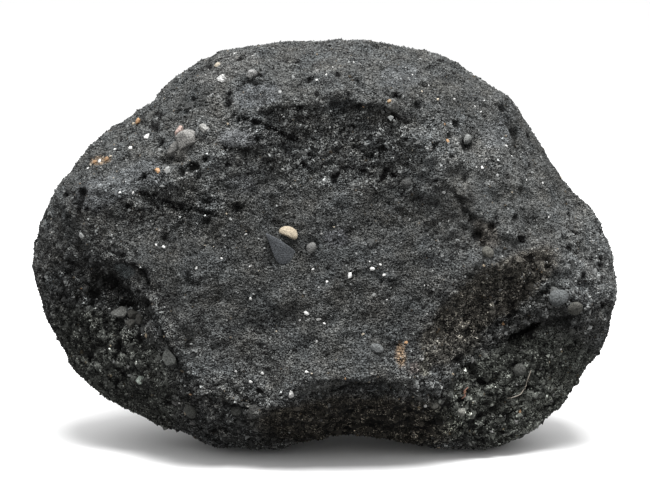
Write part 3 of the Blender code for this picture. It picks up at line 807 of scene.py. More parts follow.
STEP_SIZE = 24.0  # terraces: the size of the noise that they follow, how it is stretched, and their number
STEP_STRETCH = np.array([0.7, 1.3, 1.0])
STEP_COUNT = 7.0
STEP_TREAD = 0.72  # the share of each step that is flat
RELIEF_LUMP_SIZE = 6.0
CRUMB_SIZE = 2.6
COBBLE_SIZE = 3.6
COBBLE_MIDDLE = 0.6  # the mean height of the cobbles, which is taken off
SMALL_PITS = (3.0, 0.40, 0.65, 1.5, 71)  # spacing, share of the cells, least and most radius, seed
LARGE_PITS = (8.0, 0.38, 0.8, 2.0, 72)
RAGGEDNESS = 1.1  # how far the edges of patches, cracks, scarps and named pits stray
WARP = 0.9  # how far the terraces, cobbles and gas pits stray
SAND_ROOM = 0.35  # how much the surface is lowered for the grains that stand on it
PLAIN_TINT = 0.055
FRONT_DEPTH = 14.0  # about the waist's plane: the depth over which what is placed on the front fades in
CALM_DEPTH = 18.0  # how far from the waist the relief stays low, and how far where it is seen edge-on
EDGE_ON_DEPTHS = (12.0, 32.0)
EDGE_ON_SLOPE = 0.55
PATCH_STEEPNESS = 2.2  # how steep the edges of the patches are
GROOVE_SHARE = 0.45  # the depth of the groove at a scarp's foot, against its drop
GROOVE_MOST = 2.0  # the most drop that counts for it
LAYER_TILT = math.radians(8.0)


def line_distance(spots, line):
    """Signed distance of each spot from a line through some places, and how far along it that is, 0 to 1.

    It is the least over the line's straight pieces, and it counts as positive on the left-hand side.
    """
    line = np.array(line, float)
    least = np.full(len(spots), np.inf)
    signed = least.copy()
    along_line = np.zeros(len(spots))
    for number, (start, end) in enumerate(zip(line[:-1], line[1:])):
        along = end - start
        share = np.clip((spots - start) @ along / (along @ along), 0, 1)
        away = spots - start - share[:, None] * along
        distance = np.linalg.norm(away, axis=1)
        nearer = distance < least
        side = np.where(along[0] * away[:, 1] - along[1] * away[:, 0] > 0, 1.0, -1.0)
        least = np.where(nearer, distance, least)
        signed = np.where(nearer, side * distance, signed)
        along_line = np.where(nearer, (number + share) / (len(line) - 1), along_line)
    return signed, along_line


def scarp_drop(signed, along, width, reach):
    """1 just past a scarp's edge and 0 before it, falling smoothly to 0 at its reach and towards its ends."""
    ends = smooth_step(along * 5) * smooth_step((1 - along) * 5)
    return smooth_step(signed / width) * (1 - smooth_step(signed / reach)) * ends


def zone_values(u, v, front):
    """Crumbs, pits, tone and contrast: the plain stone's, and each zone's change added under its bowl."""
    values = np.array([PLAIN]) * np.ones((len(u), 1))
    tone_and_light_zones = [(*zone[:4], 0, 0, *zone[4:]) for zone in TONES_AND_PAINTED_LIGHT.values()]
    for place, half_length, half_width, turn, *change in (*ZONES.values(), *tone_and_light_zones):
        values += (bowl(u, v, place, half_length, half_width, turn) * front)[:, None] * np.array([change])
    return values.T


def strayed(points, size, octaves, seeds, reach):
    """How far each point strays: noise of its own along each axis, times this many millimetres."""
    return np.stack([fractal_noise(points, size, octaves, seed) for seed in seeds], axis=1) * reach


def patched(ragged, front):
    """Each patch's colour, mixed in under its bowl, how strongly it counts and how smooth the stone is."""
    tint = np.full((len(ragged), 3), PLAIN_TINT)
    strength = np.zeros(len(ragged))
    smoothed = np.zeros(len(ragged))
    for place, half_length, half_width, turn, colour, share, smoothing in PATCHES.values():
        here = smooth_step(bowl(*ragged.T, place, half_length, half_width, turn) * PATCH_STEEPNESS) * front
        tint += (np.array(colour) - tint) * here[:, None]
        strength = np.maximum(strength, here * share)
        smoothed = np.maximum(smoothed, here * smoothing)
    return tint, strength, smoothed


def calmed(points, normals):
    """1 over most of the stone, falling to 0.2 at the waist and on what is seen edge-on near it."""
    depth = np.abs(points[:, 2])
    near, far = EDGE_ON_DEPTHS
    edge_on = 1 - smooth_step(np.abs(normals[:, 2]) / EDGE_ON_SLOPE)
    edge_on *= 1 - smooth_step((depth - near) / (far - near))
    return 1 - 0.8 * np.maximum(edge_on, 1 - smooth_step(depth / CALM_DEPTH))


def crumbled(points, warped, crumbs, calm, settings):
    """Height of the broken surface, and how far its crumbs stand out of their own crevices.

    It adds up terraces (noise cut into flat steps), lumps and crumbs (finer noise), and on the coarse flanks
    cobbles of two sizes, packed side by side.
    """
    steps = fractal_noise(warped * STEP_STRETCH, STEP_SIZE, 4, 41) * STEP_COUNT
    riser = smooth_step((np.mod(steps, 1) - STEP_TREAD) / (1 - STEP_TREAD))
    steps = np.floor(steps) + riser - steps + STEP_TREAD / 2
    lumps = crumbs * fractal_noise(points, RELIEF_LUMP_SIZE, 2, 21)
    fine = crumbs * fractal_noise(points, CRUMB_SIZE, 2, 31, 0.7)
    coarse = np.clip(crumbs - 0.55, 0, 1) * calm
    packed = cobbles(warped, COBBLE_SIZE, 81) - COBBLE_MIDDLE
    packed_small = cobbles(warped, COBBLE_SIZE / 2, 82) - COBBLE_MIDDLE
    height = settings.terrace_height * steps + settings.lump_height * lumps + settings.crumb_height * fine
    height = height * calm + settings.cobble_height * coarse * (packed + 0.45 * packed_small)
    standing = 0.3 * fine + 0.8 * coarse * np.minimum(packed, packed_small + 0.25)
    return height / MILLIMETRE, standing


def scarps(ragged, front):
    """How far the surface drops past the scarps, and how deep the groove at the foot of each is."""
    drop = np.zeros(len(ragged))
    groove = np.zeros(len(ragged))
    for line, width, reach, depth in SCARPS.values():
        signed, along = line_distance(ragged, line)
        drop = np.maximum(drop, depth * scarp_drop(signed, along, width, reach) * front)
        foot = np.exp(-((signed - width) / (0.8 * width)) ** 2)
        foot *= scarp_drop(signed + width, along, width, reach) * front
        groove = np.maximum(groove, GROOVE_SHARE * min(depth, GROOVE_MOST) * foot)
    return drop, groove


def hollowed(warped, ragged, front, pits, plain, settings):
    """Depth of the gas pits where the stone is plain, the cracks (bell-shaped grooves) and the named pits."""
    small = gas_pits(warped, *SMALL_PITS) * np.clip(pits, 0.2, 1.6)
    large = gas_pits(warped, *LARGE_PITS) * np.clip(pits, 0.1, 1.3)
    hollow = settings.pit_depth * 0.9 * (small + large) * plain
    for line, half_width, depth in CRACKS.values():
        groove = depth * np.exp(-(line_distance(ragged, line)[0] / half_width) ** 2) * front
        hollow = np.maximum(hollow, groove)
    for place, radius, depth in NAMED_PITS.values():
        hollow = np.maximum(hollow, 1.2 * depth * bowl(*ragged.T, place, radius, radius, 0) * front)
    return hollow


def detailed(points, normals, settings):
    """The finished surface, and what the material and the grains need to know of it.

    Along the normals it adds the broken surface's height and the named lumps (bowls turned over), and takes
    off the scarps' drops, the pits and the cracks. Patches are smoother.
    """
    spots = as_seen(points)
    front = smooth_step(points[:, 2] / FRONT_DEPTH + 0.5)
    crumbs, pits, tone, contrast = zone_values(*spots.T, front)
    ragged = spots + strayed(points, 4, 3, (61, 62), RAGGEDNESS)
    warped = points + strayed(points, 5, 2, (51, 52, 53), WARP)
    tint, strength, smoothed = patched(ragged, front)
    calm = calmed(points, normals)
    height, standing = crumbled(points, warped, crumbs, calm, settings)
    drop, groove = scarps(ragged, front)
    hollow = hollowed(warped, ragged, front, pits, (1 - smoothed) * (0.4 + 0.6 * calm), settings)
    hollow = np.maximum(hollow, groove)
    height = height * (1 - 0.8 * smoothed) - SAND_ROOM - drop
    for place, radius, rise in LUMPS.values():
        here = bowl(*spots.T, place, radius, radius, 0) * front
        height += 0.5 * rise * here
        hollow *= 1 - here
    finished = points + normals * (height - hollow)[:, None]
    # The hollow number is painted as shade by the material and the grains: pits, cracks and grooves, less how
    # far the crumbs stand out, so crumb tops are painted lighter and their crevices darker.
    numbers = {
        "crumbs": crumbs, "hollow": np.clip(hollow - standing + 0.2, 0, 1), "tone": tone,
        "contrast": contrast * (1 - 0.5 * smoothed), "smoothed": smoothed, "calm": calm,
    }
    return finished, numbers, tint, strength


# ------------------------------------------------------------------ materials

def new_material(name):
    """A new material of this name, its node tree and its shader."""
    material = bpy.data.materials.new(name)
    material.use_nodes = True
    return material, material.node_tree, material.node_tree.nodes["Principled BSDF"]


def feed(tree, socket, value):
    """Gives a node's input this value, or links it to this output of another node."""
    if isinstance(value, bpy.types.NodeSocket):
        tree.links.new(value, socket)
    else:
        socket.default_value = value


def add_node(tree, kind, links=(), **settings):
    """A new node: settings are its own, and links give its inputs, by name, a value or another's output."""
    node = tree.nodes.new(kind)
    for name, value in settings.items():
        setattr(node, name, value)
    for name, value in dict(links).items():
        feed(tree, node.inputs[name], value)
    return node


def own_place(tree, flatness=1.0):
    """The object's own coordinates, with what follows flattened to layers by this much."""
    place = add_node(tree, "ShaderNodeTexCoord").outputs["Object"]
    if flatness == 1:
        return place
    links = {"Vector": place, "Scale": (1.0, 1.0, flatness), "Rotation": (0.0, LAYER_TILT, 0.0)}
    return add_node(tree, "ShaderNodeMapping", links).outputs["Vector"]


def noise_value(tree, size, detail=2.0, rough=0.5, warp=0.0, flatness=1.0):
    """Noise from 0 to 1 in the object's own coordinates, whose features are about this many millimetres."""
    place = own_place(tree, flatness)
    links = {"Vector": place, "Scale": 1 / (size * MILLIMETRE), "Detail": detail, "Roughness": rough}
    links["Distortion"] = warp
    return add_node(tree, "ShaderNodeTexNoise", links).outputs["Fac"]


def ranged(tree, value, low, high, to_low, to_high):
    """The value moved from one range to another, and held inside it."""
    links = {"Value": value, "From Min": low, "From Max": high, "To Min": to_low, "To Max": to_high}
    return add_node(tree, "ShaderNodeMapRange", links).outputs["Result"]


def maths(tree, operation, first, second):
    """The two values put through a Math node."""
    node = add_node(tree, "ShaderNodeMath", operation=operation)
    feed(tree, node.inputs[0], first)
    feed(tree, node.inputs[1], second)
    return node.outputs[0]


def product(tree, first, *others):
    """All the values multiplied together."""
    for other in others:
        first = maths(tree, "MULTIPLY", first, other)
    return first


def mixed(tree, share, first, second):
    """Two colours mixed by a share."""
    node = add_node(tree, "ShaderNodeMix", data_type="RGBA")
    for key, value in ((0, share), (6, first), (7, second)):
        feed(tree, node.inputs[key], value)
    return node.outputs[2]


def scaled_colour(tree, colour, factor):
    """The colour times a number."""
    node = add_node(tree, "ShaderNodeVectorMath", operation="SCALE")
    tree.links.new(colour, node.inputs[0])
    tree.links.new(factor, node.inputs["Scale"])
    return node.outputs[0]


def attribute(tree, name):
    """The node that reads one of the piece's own attributes."""
    return add_node(tree, "ShaderNodeAttribute", attribute_name=name)


def bumped(tree, shader, height, distance):
    """Gives the shader fine relief of this height, whose full range is so many millimetres deep."""
    links = {"Height": height, "Distance": distance * MILLIMETRE, "Strength": 1.0}
    bump = add_node(tree, "ShaderNodeBump", links)
    tree.links.new(bump.outputs["Normal"], shader.inputs["Normal"])


def spotted(tree, size, middle=0.0, edge=0.5, share=1.0, flatness=1.0):
    """Round spots, one in each cell of this many millimetres or in a share of them: 1 inside, 0 outside."""
    place = own_place(tree, flatness)
    cells = add_node(tree, "ShaderNodeTexVoronoi", {"Vector": place, "Scale": 1 / (size * MILLIMETRE)})
    spot = ranged(tree, cells.outputs["Distance"], middle, edge, 1.0, 0.0)
    if share == 1:
        return spot
    chance = add_node(tree, "ShaderNodeSeparateColor", {"Color": cells.outputs["Color"]}).outputs["Red"]
    return maths(tree, "MULTIPLY", spot, maths(tree, "LESS_THAN", chance, share))


PEPPER_SIZE = 0.44  # the sizes of what the stone's material shows, in millimetres
CRUMB_SPOT_SIZE = 1.1
MICRO_PIT_SPACING = 1.9
CREVICE_SIZE = 2.4
PALE_SPECK_SPACING = 2.1
PALE_SPECK = (0.24, 0.24, 0.235, 1.0)
COOL_SHIFT = (0.97, 1.005, 1.03)
WARM_SHIFT = (1.03, 1.0, 0.955)


def stone_material(settings):
    """Dark basalt: peppered, crumbly, cut by fine crevices, cloudy at 5 and 25 mm, with painted shade in its
    pits.

    Its tone is the product of those, to the power of the contrast, times the tone there, both partly painted
    light and shade.
    """
    material, tree, shader = new_material("pitted_basalt")
    grain = noise_value(tree, PEPPER_SIZE, 1.0, 0.6, flatness=1.3)
    crumb = spotted(tree, CRUMB_SPOT_SIZE, 0.18, 0.72, flatness=1.5)
    micro_pits = spotted(tree, MICRO_PIT_SPACING, 0.15, 0.28, 0.42, 1.4)
    wavy = noise_value(tree, CREVICE_SIZE, 2.0, 0.6, 0.4, 1.9)
    off_middle = maths(tree, "ABSOLUTE", maths(tree, "SUBTRACT", wavy, 0.5), 0.0)
    broken = ranged(tree, noise_value(tree, 3.5, 1.0), 0.42, 0.54, 0.0, 1.0)
    crevice = product(tree, ranged(tree, off_middle, 0.006, 0.026, 1.0, 0.0), broken)
    tone = product(
        tree,
        ranged(tree, grain, 0.39, 0.62, 0.12, 2.1),
        ranged(tree, crumb, 0, 1, 0.68, 1.22),
        # painted shade in the tiny pits and the fine crevices
        ranged(tree, micro_pits, 0, 1, 1.0, 0.15),
        ranged(tree, crevice, 0, 1, 1.0, 0.2),
        ranged(tree, noise_value(tree, 5.0, 3.0, 0.6), 0.3, 0.7, 0.75, 1.25),
        ranged(tree, noise_value(tree, 25.0, 2.0), 0.3, 0.7, 0.88, 1.12),
        # painted shade in the pits, cracks and crevices, and painted light on crumb tops
        ranged(tree, attribute(tree, "hollow").outputs["Fac"], 0.1, 0.85, 1.3, 0.08),
    )
    tone = maths(tree, "POWER", tone, attribute(tree, "contrast").outputs["Fac"])
    tone = product(tree, tone, attribute(tree, "tone").outputs["Fac"])
    cool = (*(c * k for c, k in zip(settings.colour, COOL_SHIFT)), 1.0)
    warm = (*(c * k for c, k in zip(settings.colour, WARM_SHIFT)), 1.0)
    hue = ranged(tree, noise_value(tree, 9.0, 3.0, 0.6), 0.35, 0.65, 0.0, 1.0)
    patch = attribute(tree, "tint")
    colour = mixed(tree, patch.outputs["Alpha"], mixed(tree, hue, cool, warm), patch.outputs["Color"])
    colour = scaled_colour(tree, colour, tone)
    colour = mixed(tree, spotted(tree, PALE_SPECK_SPACING, 0.10, 0.15, 0.13), colour, PALE_SPECK)
    tree.links.new(colour, shader.inputs["Base Color"])
    shader.inputs["Roughness"].default_value = 0.93
    shader.inputs["Specular IOR Level"].default_value = 0.12

    relief = maths(tree, "ADD", maths(tree, "MULTIPLY", grain, 1.2), maths(tree, "MULTIPLY", crumb, 0.45))
    relief = maths(tree, "SUBTRACT", relief, maths(tree, "MULTIPLY", micro_pits, 0.8))
    relief = maths(tree, "SUBTRACT", relief, maths(tree, "MULTIPLY", crevice, 0.6))
    kept = ranged(tree, attribute(tree, "smoothed").outputs["Fac"], 0, 1, 1, 0.35)
    bumped(tree, shader, product(tree, relief, kept), settings.grain_relief / MILLIMETRE)
    return material


def speckled_material(name, pepper, low, high, roughness, relief, gloss=0.15):
    """The colour of each grain or pebble, times noise from low to high, and bumped by the same noise.

    The pepper is the size of the noise, and the relief its depth, both in millimetres.
    """
    material, tree, shader = new_material(name)
    grain = noise_value(tree, pepper, 2.0, 0.6)
    tone = ranged(tree, grain, 0.3, 0.7, low, high)
    colour = scaled_colour(tree, attribute(tree, "colour").outputs["Color"], tone)
    tree.links.new(colour, shader.inputs["Base Color"])
    shader.inputs["Roughness"].default_value = roughness
    shader.inputs["Specular IOR Level"].default_value = gloss
    bumped(tree, shader, grain, relief)
    return material


# ------------------------------------------------------------------ sizes and colours a user may change

class StoneSettings(PropertyGroup):
    colour: FloatVectorProperty(
        name="Colour", description="Mean colour of the basalt", subtype="COLOR",
        default=(0.0745, 0.0765, 0.0755), min=0, max=1)
    terrace_height: FloatProperty(
        name="Terrace height", description="Height of the small steps that the surface is broken into",
        unit="LENGTH", default=0.00075, min=0, max=0.003, precision=5)
    lump_height: FloatProperty(
        name="Lump height", description="Height of the lumps, which are about 6 mm across",
        unit="LENGTH", default=0.0006, min=0, max=0.003, precision=5)
    cobble_height: FloatProperty(
        name="Cobble height", description="Height of the packed crumbs on the coarse flanks",
        unit="LENGTH", default=0.0013, min=0, max=0.004, precision=5)
    crumb_height: FloatProperty(
        name="Crumb height", description="Height of the crumbs, which are about 2 mm across",
        unit="LENGTH", default=0.00038, min=0, max=0.002, precision=5)
    pit_depth: FloatProperty(
        name="Pit depth", description="Depth of the gas pits, against their radius",
        default=0.9, min=0, max=2)
    grain_relief: FloatProperty(
        name="Grain relief", description="Depth of the finest grain", unit="LENGTH",
        default=0.0008, min=0, max=0.002, precision=5)


class GrainSettings(PropertyGroup):
    sand_count: IntProperty(
        name="Sand grains", description="Number of fine grains, shared between three pieces",
        default=72000, min=3000, max=74000)
    sand_size: FloatProperty(
        name="Sand size", description="Mean width of a fine grain", unit="LENGTH",
        default=0.0006, min=0.0001, max=0.002, precision=5)
    gravel_count: IntProperty(
        name="Gravel grains", description="Number of coarse angular grains", default=4100, min=10, max=4150)
    gravel_size: FloatProperty(
        name="Gravel size", description="Mean width of a coarse grain", unit="LENGTH",
        default=0.0014, min=0.0005, max=0.006, precision=5)
    colour: FloatVectorProperty(
        name="Colour", description="Mean colour of the grains", subtype="COLOR",
        default=(0.066, 0.068, 0.067), min=0, max=1)


class CrystalSettings(PropertyGroup):
    count: IntProperty(
        name="Small crystals", description="Number of small pale crystals, besides the placed ones",
        default=420, min=0, max=2000)
    size: FloatProperty(
        name="Small size", description="Mean width of a small crystal", unit="LENGTH",
        default=0.0006, min=0.0002, max=0.002, precision=5)


class SlateSettings(PropertyGroup):
    colour: FloatVectorProperty(
        name="Colour", description="Colour of the flat slate chip", subtype="COLOR",
        default=(0.066, 0.071, 0.077), min=0, max=1)


class StageSettings(PropertyGroup):
    floor_colour: FloatVectorProperty(
        name="Floor colour", description="Colour of the floor", subtype="COLOR",
        default=(0.85, 0.85, 0.85), min=0, max=1)
    softbox_power: FloatProperty(
        name="Softbox power", description="Power of the softbox in watts", default=23.5, min=0, max=200)
    softbox_rise: FloatProperty(
        name="Softbox rise", description="How high the softbox stands over the floor", subtype="ANGLE",
        default=math.radians(72), min=0, max=math.pi / 2)
    lens: FloatProperty(
        name="Lens", description="Focal length of the camera in millimetres", default=100.0, min=20, max=300)


class LavaRockSettings(PropertyGroup):
    stone: PointerProperty(type=StoneSettings)
    grains: PointerProperty(type=GrainSettings)
    crystals: PointerProperty(type=CrystalSettings)
    slate: PointerProperty(type=SlateSettings)
    stage: PointerProperty(type=StageSettings)


# ------------------------------------------------------------------ operators

class LAVA_OT_stone(Operator):
    """Build the stone: a cube's surface blown up to the stone's form, then given pits, cracks and crumbs"""
    bl_idname = "lava_rock.stone"
    bl_label = "Stone"

    def execute(self, context):
        settings = context.scene.lava_rock.stone
        cube, faces, atlas = cube_sphere(GRID)
        cube /= np.linalg.norm(cube, axis=1)[:, None]
        directions = (cube + [0, 0, FRONT_SHARE]) * STONE_SHAPE
        directions /= np.linalg.norm(directions, axis=1)[:, None]
        form = stone_surface(directions)
        points, numbers, tint, strength = detailed(form, vertex_normals(form, faces), settings)
        points = stood_up(points)
        points[:, 2] = np.maximum(points[:, 2], 0)
        stone = new_piece(STONE, points, faces, stone_material(settings), atlas)
        for name, values in numbers.items():
            give_numbers(stone.data, name, values)
        give_colours(stone.data, "tint", tint, strength)
        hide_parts("lava_rock")
        return {"FINISHED"}


def set_in(points, shapes, turns):
    """Each shape turned and moved to its point: shapes are (count, corners, 3)."""
    return points[:, None, :] + np.einsum("kij,kvj->kvi", turns, shapes)


def many_faces(faces, count, corners):
    """The faces of one shape, repeated for each of a number of shapes."""
    return (faces[None] + np.arange(count)[:, None, None] * corners).reshape(-1, 3)


def seated(ground, place, shape, lift, turn):
    """The shape set on the stone where this place is seen, lifted by so much and turned by these degrees."""
    spot, normal = ground.seen_at(place)
    return set_in(spot + normal * lift, shape[None], frames_on(normal, np.radians([turn])))[0]


def above_ground(points):
    """The points, with none of them under the floor."""
    points[:, 2] = np.maximum(points[:, 2], 0)
    return points


def one_colour(colour, count):
    """The same colour for each of this many vertices."""
    return np.array([colour]) * np.ones((count, 1))


PALE_GRAIN = np.array([0.17, 0.17, 0.165])
BROWNED = np.array([1.3, 1.05, 0.8])
# the brightness of the grains that are painted dark as shadow between the others
GAP_SHADE = 0.2


def grain_colours(rng, ground, nearest, mean, spread, odd, shaded_share):
    """Greys around the mean, times the painted shade and tone there, which spread more where the contrast is
    high.

    A share of them is dark, as painted shadow between the grains, and an odd few are pale or brown.
    """
    count = len(nearest)
    contrast = ground.numbers["contrast"][nearest]
    shade = ground.numbers["shade"][nearest]
    dark = rng.random(count) < np.clip(shaded_share * contrast ** 1.5, 0, 0.5)
    spread = spread * np.clip(contrast, 0.75, 1.4)
    value = np.exp(rng.normal(0, 1, count) * spread - spread ** 2 / 4) * shade * np.where(dark, GAP_SHADE, 1.0)
    colours = ground.coloured(nearest, mean) * value[:, None]
    kind = rng.random(count)[:, None]
    colours = np.where(kind < odd, PALE_GRAIN * np.clip(shade, 0.3, 1.0)[:, None], colours)
    return np.where(kind > 1 - odd / 2, colours * BROWNED, colours)


SAND_PIECES = 3
SAND_BRIGHTNESS = 1.08
SAND_CORNERS = np.array([(1, 0, 0), (0, 1, 0), (-1, 0, 0), (0, -1, 0), (0, 0, 1), (0, 0, -1)], float)
SAND_SIDES = np.array([
    (0, 1, 4), (1, 2, 4), (2, 3, 4), (3, 0, 4), (1, 0, 5), (2, 1, 5), (3, 2, 5), (0, 3, 5),
])


class LAVA_OT_sand(Operator):
    """Scatter fine grains: uneven eight-sided grains half sunk in the surface, most where it is rough"""
    bl_idname = "lava_rock.sand"
    bl_label = "Sand grains"

    def execute(self, context):
        settings = context.scene.lava_rock.grains
        ground = Ground()
        material = speckled_material(
            "sand_grains", pepper=0.45, low=0.55, high=1.5, roughness=0.9, relief=0.1)
        weight = (0.5 + ground.numbers["crumbs"]) * (1 - 0.9 * ground.numbers["smoothed"])
        weight *= (1 - 0.7 * ground.numbers["hollow"]) * (1 + 0.8 * (ground.normals[:, 2] > 0))
        count = settings.sand_count // SAND_PIECES
        corners = len(SAND_CORNERS)
        for number in range(SAND_PIECES):
            rng = np.random.default_rng(100 + number)
            places, normals, nearest = ground.scattered(rng, count, weight)
            size = settings.sand_size / MILLIMETRE * np.exp(rng.normal(0, 0.35, count)) / 2
            size *= 0.7 + 0.35 * ground.numbers["crumbs"][nearest]
            shapes = SAND_CORNERS[None] * rng.uniform(0.6, 1.3, (count, corners, 1))
            shapes = (shapes + rng.normal(0, 0.15, (count, corners, 3))) * size[:, None, None]
            places -= normals * (size * rng.uniform(0.0, 0.4, count))[:, None]
            grains = set_in(places, shapes, random_turns(rng, count)).reshape(-1, 3)
            points = above_ground(stood_up(grains))
            faces = many_faces(SAND_SIDES, count, corners)
            cells = own_cells(len(faces))
            piece = new_piece(f"sand_grains_{number + 1}", points, faces, material, cells, smooth=False)
            colours = grain_colours(rng, ground, nearest, settings.colour, spread=0.6, odd=0.035, shaded_share=0.15)
            give_colours(piece.data, "colour", np.repeat(colours * SAND_BRIGHTNESS, corners, axis=0))
        return {"FINISHED"}


GRAVEL_BRIGHTNESS = 0.95


class LAVA_OT_gravel(Operator):
    """Scatter coarse angular grains, mostly over the flanks and the foot, where the stone is crumbly"""
    bl_idname = "lava_rock.gravel"
    bl_label = "Gravel"

    def execute(self, context):
        settings = context.scene.lava_rock.grains
        ground = Ground()
        rng = np.random.default_rng(200)
        count = settings.gravel_count
        weight = np.clip(ground.numbers["crumbs"] - 0.75, 0, None) ** 2 + 0.01
        weight *= (1 - ground.numbers["hollow"]) * (1 - ground.numbers["smoothed"])
        weight *= (ground.numbers["calm"] - 0.18) * np.where(ground.normals[:, 2] > 0, 1.0, 0.35)
        places, normals, nearest = ground.scattered(rng, count, weight)
        directions, sides = round_grid(6, 4)
        size = settings.gravel_size / MILLIMETRE * np.exp(rng.normal(0, 0.32, count)) / 2
        shapes = faceted_shapes(rng, count, directions, 7, 1.25) * size[:, None, None]
        shapes *= rng.uniform(0.55, 1.25, (count, 1, 3))
        places -= normals * (size * rng.uniform(0.5, 1.0, count))[:, None]
        grains = set_in(places, shapes, random_turns(rng, count)).reshape(-1, 3)
        faces = many_faces(sides, count, len(directions))
        points = above_ground(stood_up(grains))
        material = speckled_material("gravel", pepper=0.5, low=0.5, high=1.5, roughness=0.92, relief=0.5)
        piece = new_piece("gravel", points, faces, material, own_cells(len(faces)), smooth=False)
        colours = grain_colours(rng, ground, nearest, settings.colour, spread=0.17, odd=0.010, shaded_share=0.0)
        give_colours(piece.data, "colour", np.repeat(colours * GRAVEL_BRIGHTNESS, len(directions), axis=0))
        return {"FINISHED"}


class LAVA_OT_crystals(Operator):
    """Set pale crystals into the stone: flat chips cut by planes, some in known places, the rest scattered"""
    bl_idname = "lava_rock.crystals"
    bl_label = "Crystals"

    def execute(self, context):
        settings = context.scene.lava_rock.crystals
        ground = Ground()
        rng = np.random.default_rng(300)
        table = np.array(CRYSTALS)
        placed, placed_normals = ground.seen_at(table[:, :2])
        weight = (1.6 - np.clip(ground.numbers["crumbs"], 0, 1.5)) * (1 - ground.numbers["hollow"])
        places, normals, _ = ground.scattered(rng, settings.count, weight)
        places = np.concatenate([placed, places])
        normals = np.concatenate([placed_normals, normals])
        small = settings.size / MILLIMETRE * np.exp(rng.normal(0, 0.35, settings.count))
        size = np.concatenate([table[:, 2], small]) / 2
        kind = rng.choice(4, settings.count, p=(0.45, 0.15, 0.37, 0.03))
        tint = np.array(CRYSTAL_TINTS)[np.concatenate([table[:, 3].astype(int), kind])]
        tint = tint * rng.uniform(0.7, 1.1, (len(tint), 1))
        count = len(places)
        directions, sides = round_grid(6, 3)
        shapes = faceted_shapes(rng, count, directions, 7, 1.2) * [1.15, 0.85, 0.6] * size[:, None, None]
        turns = frames_on(normals, rng.uniform(0, 2 * np.pi, count))
        places = places - normals * (size * 0.15)[:, None]
        points = above_ground(stood_up(set_in(places, shapes, turns).reshape(-1, 3)))
        faces = many_faces(sides, count, len(directions))
        material = speckled_material(
            "feldspar", pepper=0.35, low=0.8, high=1.15, roughness=0.5, relief=0.05, gloss=0.5)
        piece = new_piece("crystals", points, faces, material, own_cells(len(faces)), smooth=False)
        give_colours(piece.data, "colour", np.repeat(tint, len(directions), axis=0))
        return {"FINISHED"}


def pebble_points(rng, directions, half_length, half_width, height, flat=2.0):
    """A worn pebble: a ball's reach along each direction, cut a little by planes and dented by noise.

    Its lower side is cut flat at a share of the half width, and the cut's edge is softened.
    """
    cut = np.linalg.norm(faceted_shapes(rng, 1, directions, 8, 1.08)[0], axis=1)
    reach = 1 - (1 - np.clip(cut, 0.72, 1.0)) * 0.55
    reach = soft_min(reach, flat / np.maximum(-directions[:, 1], 0.05), 0.12)
    reach += 0.05 * fractal_noise(directions + rng.uniform(0, 9, 3), 0.7, 3, 5)
    return directions * reach[:, None] * [half_length, half_width, height]


def chip_points(rng, directions, half_length, half_width, height):
    """A broken chip: along each direction, the distance to the nearest of eight planes, then dented."""
    shape = faceted_shapes(rng, 1, directions, 8, 1.3)[0]
    shape += 0.05 * fractal_noise(shape + rng.uniform(0, 9, 3), 0.5, 2, 6)[:, None] * directions
    return shape * [half_length, half_width, height] * 1.15


class LAVA_OT_pebbles(Operator):
    """Set the pebbles that can be told apart into the stone: two single ones, the grey ones, and chips"""
    bl_idname = "lava_rock.pebbles"
    bl_label = "Pebbles"

    def execute(self, context):
        ground = Ground()
        rng = np.random.default_rng(400)
        worn = speckled_material(
            "worn_pebble", pepper=0.4, low=0.62, high=1.28, roughness=0.8, relief=0.3, gloss=0.25)
        rough = speckled_material("rough_pebble", pepper=0.4, low=0.35, high=1.7, roughness=0.92, relief=0.35)
        directions, sides = round_grid(36, 23)
        for name, (place, half_length, half_width, height, turn, colour, flat) in PEBBLES.items():
            shape = pebble_points(rng, directions, half_length, half_width, height, flat)
            points = seated(ground, place, shape, height * 0.35, turn)
            piece = new_piece(name, stood_up(points), sides, worn)
            give_colours(piece.data, "colour", one_colour(colour, len(points)))
        directions, sides = round_grid(24, 15)
        points, colours = [], []
        for place, half_length, half_width, height, turn, colour in GREY_PEBBLES:
            shape = pebble_points(rng, directions, half_length, half_width, height)
            points.append(seated(ground, place, shape, height * 0.2, turn))
            colours.append(one_colour(colour, len(shape)))
        faces = many_faces(sides, len(GREY_PEBBLES), len(directions))
        piece = new_piece("pebbles_grey", stood_up(np.concatenate(points)), faces, rough)
        give_colours(piece.data, "colour", np.concatenate(colours))
        directions, sides = round_grid(28, 15)
        points, colours = [], []
        for place, half_length, half_width, height, turn, colour in CHIPS:
            shape = chip_points(rng, directions, half_length, half_width, height)
            points.append(seated(ground, place, shape, height * -0.1, turn))
            colours.append(one_colour(colour, len(shape)))
        faces = many_faces(sides, len(CHIPS), len(directions))
        piece = new_piece("chips_pale", stood_up(np.concatenate(points)), faces, rough, smooth=False)
        give_colours(piece.data, "colour", np.concatenate(colours))
        return {"FINISHED"}


SLATE_AROUND = 48
SLATE_DIP_LENGTH = 6.0  # the length over which its right end dips


